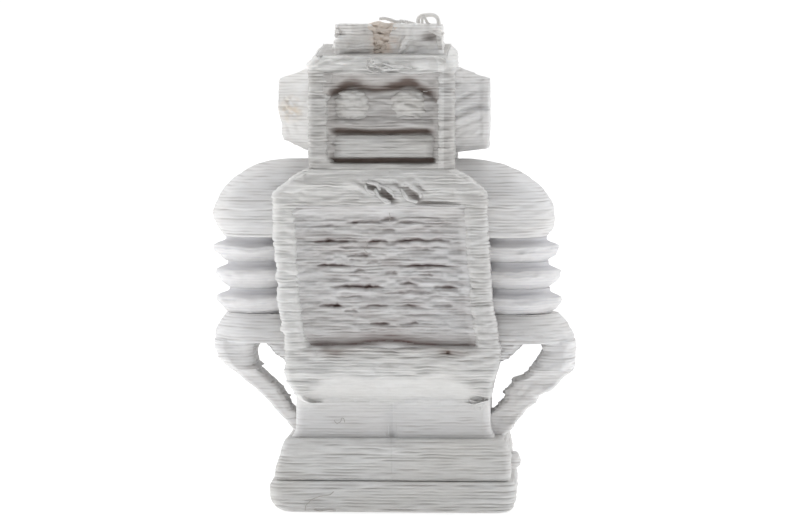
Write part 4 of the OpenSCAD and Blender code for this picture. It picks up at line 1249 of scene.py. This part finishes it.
    def inner_contour(z, s=s):
        xo = np.interp(z, [14.8, 15.2, 16.2, 16.8], [10.9, 11.7, 12.8, 13.3])
        P = block(9.6, xo, -3.3, 3.3, 0.8, 12, 26, 6)
        P[:, 0] = cx(14) + s * P[:, 0]
        return P if s > 0 else P[::-1]

    def inner_extra(P, N, z, i, s=s, sd=sd):
        return 0.20 * vnoise(P[:, 0] / 0.5, P[:, 1] / 0.5, i * 1.0, sd + 45)

    o = printed(nm + "_inner_finger_skin", inner_contour, 14.85, 16.85, amp=0.06, crev=0.05, seed=sd + 13, extra=inner_extra, cap_k=(2, 2))
    dress(o, "arm", "body", nm + "_inner_finger")

    # breakaway strut
    def strut_contour(z, s=s):
        xo, xi = tab(z, *ST[s][0]), tab(z, *ST[s][1])
        P = block(min(xi, xo - 0.4), xo, -2.55, 2.55, 0.6, 22, 30, 6)
        P[:, 0] = 0.0 + s * P[:, 0]
        return P if s > 0 else P[::-1]

    def strut_extra(P, N, z, i, s=s, sd=sd):
        inn = N[:, 0] * s < -0.3
        d = inn * (0.20 * vnoise(P[:, 1] / 0.9, i * 1.0, 0.5, sd + 51)) + 0.05 * vnoise(P[:, 0] / 1.0, P[:, 1] / 1.0, z / 0.36, sd + 55)
        if s > 0:
            d = d + 0.20 * vnoise(P[:, 0] / 1.2, P[:, 1] / 1.6, (z - 0.4 * P[:, 0]) / 0.7, sd + 53) + 0.05 * vnoise(P[:, 0] / 0.4, P[:, 1] / 0.4, z / 0.3, sd + 54)
        return d

    o = printed(nm + "_strut_skin", strut_contour, 7.25, 14.05, amp=0.03, crev=0.045, seed=sd + 14, extra=strut_extra, cap_k=(2, 2), wave=0.12)
    dress(o, "strut", "support", nm + "_strut")

# ------------------------------------------------------------------ loose plastic
def twist(a, b, r, turns, n=90):
    """Two threads wound round the line from a to b."""
    a, b = np.asarray(a, float), np.asarray(b, float)
    t = (b - a) / np.linalg.norm(b - a)
    u = np.cross(t, [0, 1, 0]); u /= np.linalg.norm(u)
    v = np.cross(t, u)
    out = []
    for ph in (0, np.pi):
        k = np.linspace(0, 1, n)
        ang = 2 * np.pi * turns * k + ph
        p = a + (b - a) * k[:, None] + r * (np.cos(ang)[:, None] * u + np.sin(ang)[:, None] * v)
        p[:, 2] += 0.10 * np.sin(k * 6.0)
        out.append(p)
    return out


paths = [(p, 0.12) for p in twist((-1.35, -2.6, 49.45), (0.9, -3.0, 49.2), 0.10, 8)]
paths += [(p, 0.12) for p in twist((0.7, -2.9, 49.25), (5.2, -3.5, 47.95), 0.10, 9)]
paths += [([(1.2, -3.5, 48.9), (2.4, -3.7, 48.75), (3.6, -3.9, 48.35), (4.6, -4.1, 47.9), (5.1, -3.9, 47.6)], 0.15)]
o = dress(strands("cap_strand_twist", paths, 0.12, 8), "strand", "loose_strand", "cap_strand")

loop = [(2.55, -2.2, 48.9), (2.5, -2.2, 49.5), (2.75, -2.2, 49.72), (3.1, -2.15, 49.8), (3.6, -2.1, 49.86), (4.1, -2.05, 49.84),
        (4.45, -2.0, 49.65), (4.6, -2.0, 49.3), (4.62, -2.1, 48.9), (4.6, -2.3, 48.3)]
loop2 = [(2.95, -2.35, 48.9), (2.95, -2.35, 49.6), (3.1, -2.35, 49.7), (3.3, -2.3, 49.4), (3.5, -2.3, 49.0), (3.9, -2.2, 48.8)]
o = dress(strands("cap_loop_strand", [(loop, 0.21), (loop2, 0.14)], 0.18, 10), "strand", "loose_strand", "cap_loop")


def blob_contour(z):
    t = (z - 4.75) / 1.0
    r = 0.85 * math.sqrt(max(0.02, 1 - t * t))
    return disc(12.15, -2.4, r, 60)


o = printed("hip_blob_skin", blob_contour, 3.8, 5.65, amp=0.06, crev=0.05, seed=171, cap_k=(2, 2),
            extra=lambda P, N, z, i: 0.16 * vnoise(P[:, 0] / 0.5, P[:, 1] / 0.5, z / 0.4, 172))
dress(o, "arm", "loose_strand", "hip_blob")

curl = []
for k in range(5):
    z = 11.15 - 0.13 * k
    y = -6.6 + 0.12 * k
    curl.append(([(7.9 + 0.15 * k, y + 0.3, z + 0.10), (8.4, y, z - 0.10 - 0.04 * k), (9.0, y, z - 0.16 - 0.05 * k), (9.6 - 0.08 * k, y + 0.1, z), (9.95 - 0.12 * k, y + 0.7, z + 0.15)], 0.12))
o = dress(strands("corner_curl_strands", curl, 0.15, 8), "torso", "loose_strand", "corner_curl")

# thin hairs of plastic that string across the surface
hairs = [
    ([(fx(305), -7.92, 0.1), (fx(306), -7.95, 0.7), (fx(312), -7.95, 1.3), (fx(320), -7.93, 1.6), (fx(330), -7.9, 1.75), (fx(334), -7.9, 2.1)], 0.035),
    ([(fx(314), -7.95, 0.25), (fx(320), -7.97, 0.12), (fx(328), -7.95, 0.3), (fx(336), -7.93, 0.2)], 0.05),
    ([(fx(389), -6.8, fz(213)), (fx(390), -6.85, fz(218)), (fx(389), -6.8, fz(223))], 0.03),
    ([(fx(365), -7.05, fz(241)), (fx(367), -7.1, fz(246)), (fx(364), -7.05, fz(250)), (fx(367), -7.0, fz(253))], 0.03),
    ([(fx(333), -6.36, 9.1), (fx(336), -6.4, 8.75), (fx(340), -6.42, 9.0), (fx(341), -6.4, 9.35), (fx(343), -6.38, 9.3), (fx(344), -6.36, 8.9)], 0.03),
    ([(fx(448), -6.8, fz(349)), (fx(450), -6.85, fz(351.5))], 0.05)]
o = dress(strands("surface_hairs", hairs, 0.04, 6), "hair", "loose_strand")

# curled threads round the torn patches over the chest and on the head
rng = np.random.default_rng(11)
curls = []
for a_, b_, la, lb, sl, dp in TORN[:4]:
    n = math.hypot(1, sl)
    for side in (-1, 1):
        for rep in range(2):
            ph = rng.random() * 6
            t = np.linspace(-1.0, 0.9, 14)
            u, v = t * la * 0.95, side * (lb + 0.12 + 0.10 * rep) * np.sqrt(np.clip(1.15 - t * t, 0.05, 2)) + 0.07 * np.sin(5 * t + ph)
            x, z = a_ + (u - v * sl) / n, b_ + (v + u * sl) / n
            y = -7.10 - 0.16 * np.cos(t * 1.4) - 0.05 * np.sin(7 * t + ph)
            if a_ > 4 or z.min() < 30.75:
                continue
            curls.append((list(zip(x, y, z)), 0.11 + 0.05 * rng.random()))
o = dress(strands("torso_torn_threads", curls, 0.1, 8), "torso", "body")

cxh, czh = fxf(371.5), fzf(61)
ring = np.linspace(0.3, 6.2, 26)
curls = [([(cxh + 0.21 * math.cos(t), -7.04, czh + 0.24 * math.sin(t)) for t in ring], 0.075),
         ([(cxh - 0.35, -6.95, czh + 0.1), (cxh - 0.45, -7.0, czh - 0.45), (cxh - 0.25, -7.0, czh - 0.9), (cxh + 0.25, -7.05, czh - 1.1), (cxh + 0.8, -7.0, czh - 0.95)], 0.10),
         ([(cxh + 0.3, -6.98, czh - 0.45), (cxh + 0.9, -7.04, czh - 0.75), (cxh + 1.5, -7.02, czh - 0.55), (cxh + 2.1, -7.0, czh - 0.8)], 0.10),
         ([(cxh + 1.2, -6.98, czh - 0.25), (cxh + 2.0, -7.03, czh - 0.5), (cxh + 3.0, -7.0, czh - 0.45), (cxh + 4.0, -6.95, czh - 0.75)], 0.10)]
o = dress(strands("head_torn_threads", curls, 0.1, 8), "head", "body")

# inner grid nodes stay as the CAD made them, in their own finish
for nd in NODE_NAMES:
    if "infill" in nd and nd != "cap_infill":
        ob = bpy.data.objects.get(nd)
        if ob is not None:
            ob.data.materials.clear()
            ob.data.materials.append(MAT["grid"])

# ------------------------------------------------------------------ floor, light, camera
me = bpy.data.meshes.new("floor")
F = 3.0
me.from_pydata([(-F, -F, 0), (F, -F, 0), (F, F, 0), (-F, F, 0)], [], [(0, 1, 2, 3)])
floor = bpy.data.objects.new("floor", me)
bpy.context.scene.collection.objects.link(floor)
fm = bpy.data.materials.new("floor_white")
fm.use_nodes = True
fb = fm.node_tree.nodes["Principled BSDF"]
fb.inputs["Base Color"].default_value = (0.88, 0.88, 0.88, 1)
fb.inputs["Roughness"].default_value = 0.9
fb.inputs["Specular IOR Level"].default_value = 0.0
fb.inputs["Emission Color"].default_value = (1, 1, 1, 1)
fb.inputs["Emission Strength"].default_value = 0.42
me.materials.append(fm)

w = bpy.data.worlds.new("studio")
bpy.context.scene.world = w
w.use_nodes = True
nt = w.node_tree
for nd in list(nt.nodes):
    nt.nodes.remove(nd)
N, L = nt.nodes.new, nt.links.new
out = N("ShaderNodeOutputWorld")
geo = N("ShaderNodeTexCoord")
sep = N("ShaderNodeSeparateXYZ")
L(geo.outputs["Generated"], sep.inputs[0])
mr = N("ShaderNodeMapRange")          # dim in front (-Y), bright behind and at the sides
mr.interpolation_type = "SMOOTHSTEP"
mr.inputs["From Min"].default_value = -0.80
mr.inputs["From Max"].default_value = 0.35
mr.inputs["To Min"].default_value = 0.10
mr.inputs["To Max"].default_value = 1.75
L(sep.outputs["Y"], mr.inputs["Value"])
fall = N("ShaderNodeMapRange")        # milder right behind
fall.interpolation_type = "SMOOTHSTEP"
fall.inputs["From Min"].default_value = 0.30
fall.inputs["From Max"].default_value = 0.85
fall.inputs["To Min"].default_value = 1.0
fall.inputs["To Max"].default_value = 0.22
L(sep.outputs["Y"], fall.inputs["Value"])
lvl = N("ShaderNodeMath")
lvl.operation = "MULTIPLY"
L(mr.outputs[0], lvl.inputs[0])
L(fall.outputs[0], lvl.inputs[1])
lit = N("ShaderNodeBackground")
L(lvl.outputs[0], lit.inputs["Strength"])
lit.inputs["Color"].default_value = (0.985, 0.99, 1.0, 1)
seen = N("ShaderNodeBackground")
seen.inputs["Color"].default_value = (1, 1, 1, 1)
seen.inputs["Strength"].default_value = 1.05
lp = N("ShaderNodeLightPath")
mix = N("ShaderNodeMixShader")
L(lp.outputs["Is Camera Ray"], mix.inputs[0])
L(lit.outputs[0], mix.inputs[1])
L(seen.outputs[0], mix.inputs[2])
L(mix.outputs[0], out.inputs[0])


def area(name, loc, target, size, power, colour=(1, 1, 1)):
    d = bpy.data.lights.new(name, "AREA")
    d.shape = "RECTANGLE"
    d.size, d.size_y = size
    d.energy = power
    d.color = colour
    ob = bpy.data.objects.new(name, d)
    bpy.context.scene.collection.objects.link(ob)
    ob.location = loc
    ob.rotation_mode = "QUATERNION"
    ob.rotation_quaternion = (Vector(target) - Vector(loc)).to_track_quat("-Z", "Y")
    return ob


mid = (0, 0, 0.025)
area("softbox_left", (-0.35, -0.02, 0.10), mid, (0.30, 0.35), 0.20)
area("softbox_top", (0, -0.06, 0.40), mid, (0.35, 0.30), 0.05)

sc = bpy.context.scene
sc.view_settings.view_transform = "Standard"
sc.view_settings.look = "None"
sc.view_settings.exposure = 0.0
sc.view_settings.gamma = 1.0

cam_d = bpy.data.cameras.new("camera")
cam = bpy.data.objects.new("camera", cam_d)
sc.collection.objects.link(cam)
sc.camera = cam
az, el, dist = math.radians(3.0), math.radians(3.5), 0.330
tgt = Vector((-0.00002, 0, 0.02465))
back = Vector((math.sin(az) * math.cos(el), -math.cos(az) * math.cos(el), math.sin(el)))
cam.location = tgt + back * dist
cam.rotation_mode = "QUATERNION"
cam.rotation_quaternion = (-back).to_track_quat("-Z", "Y")
cam_d.sensor_width = 36
cam_d.lens = 147.5
cam_d.clip_start, cam_d.clip_end = 0.01, 20
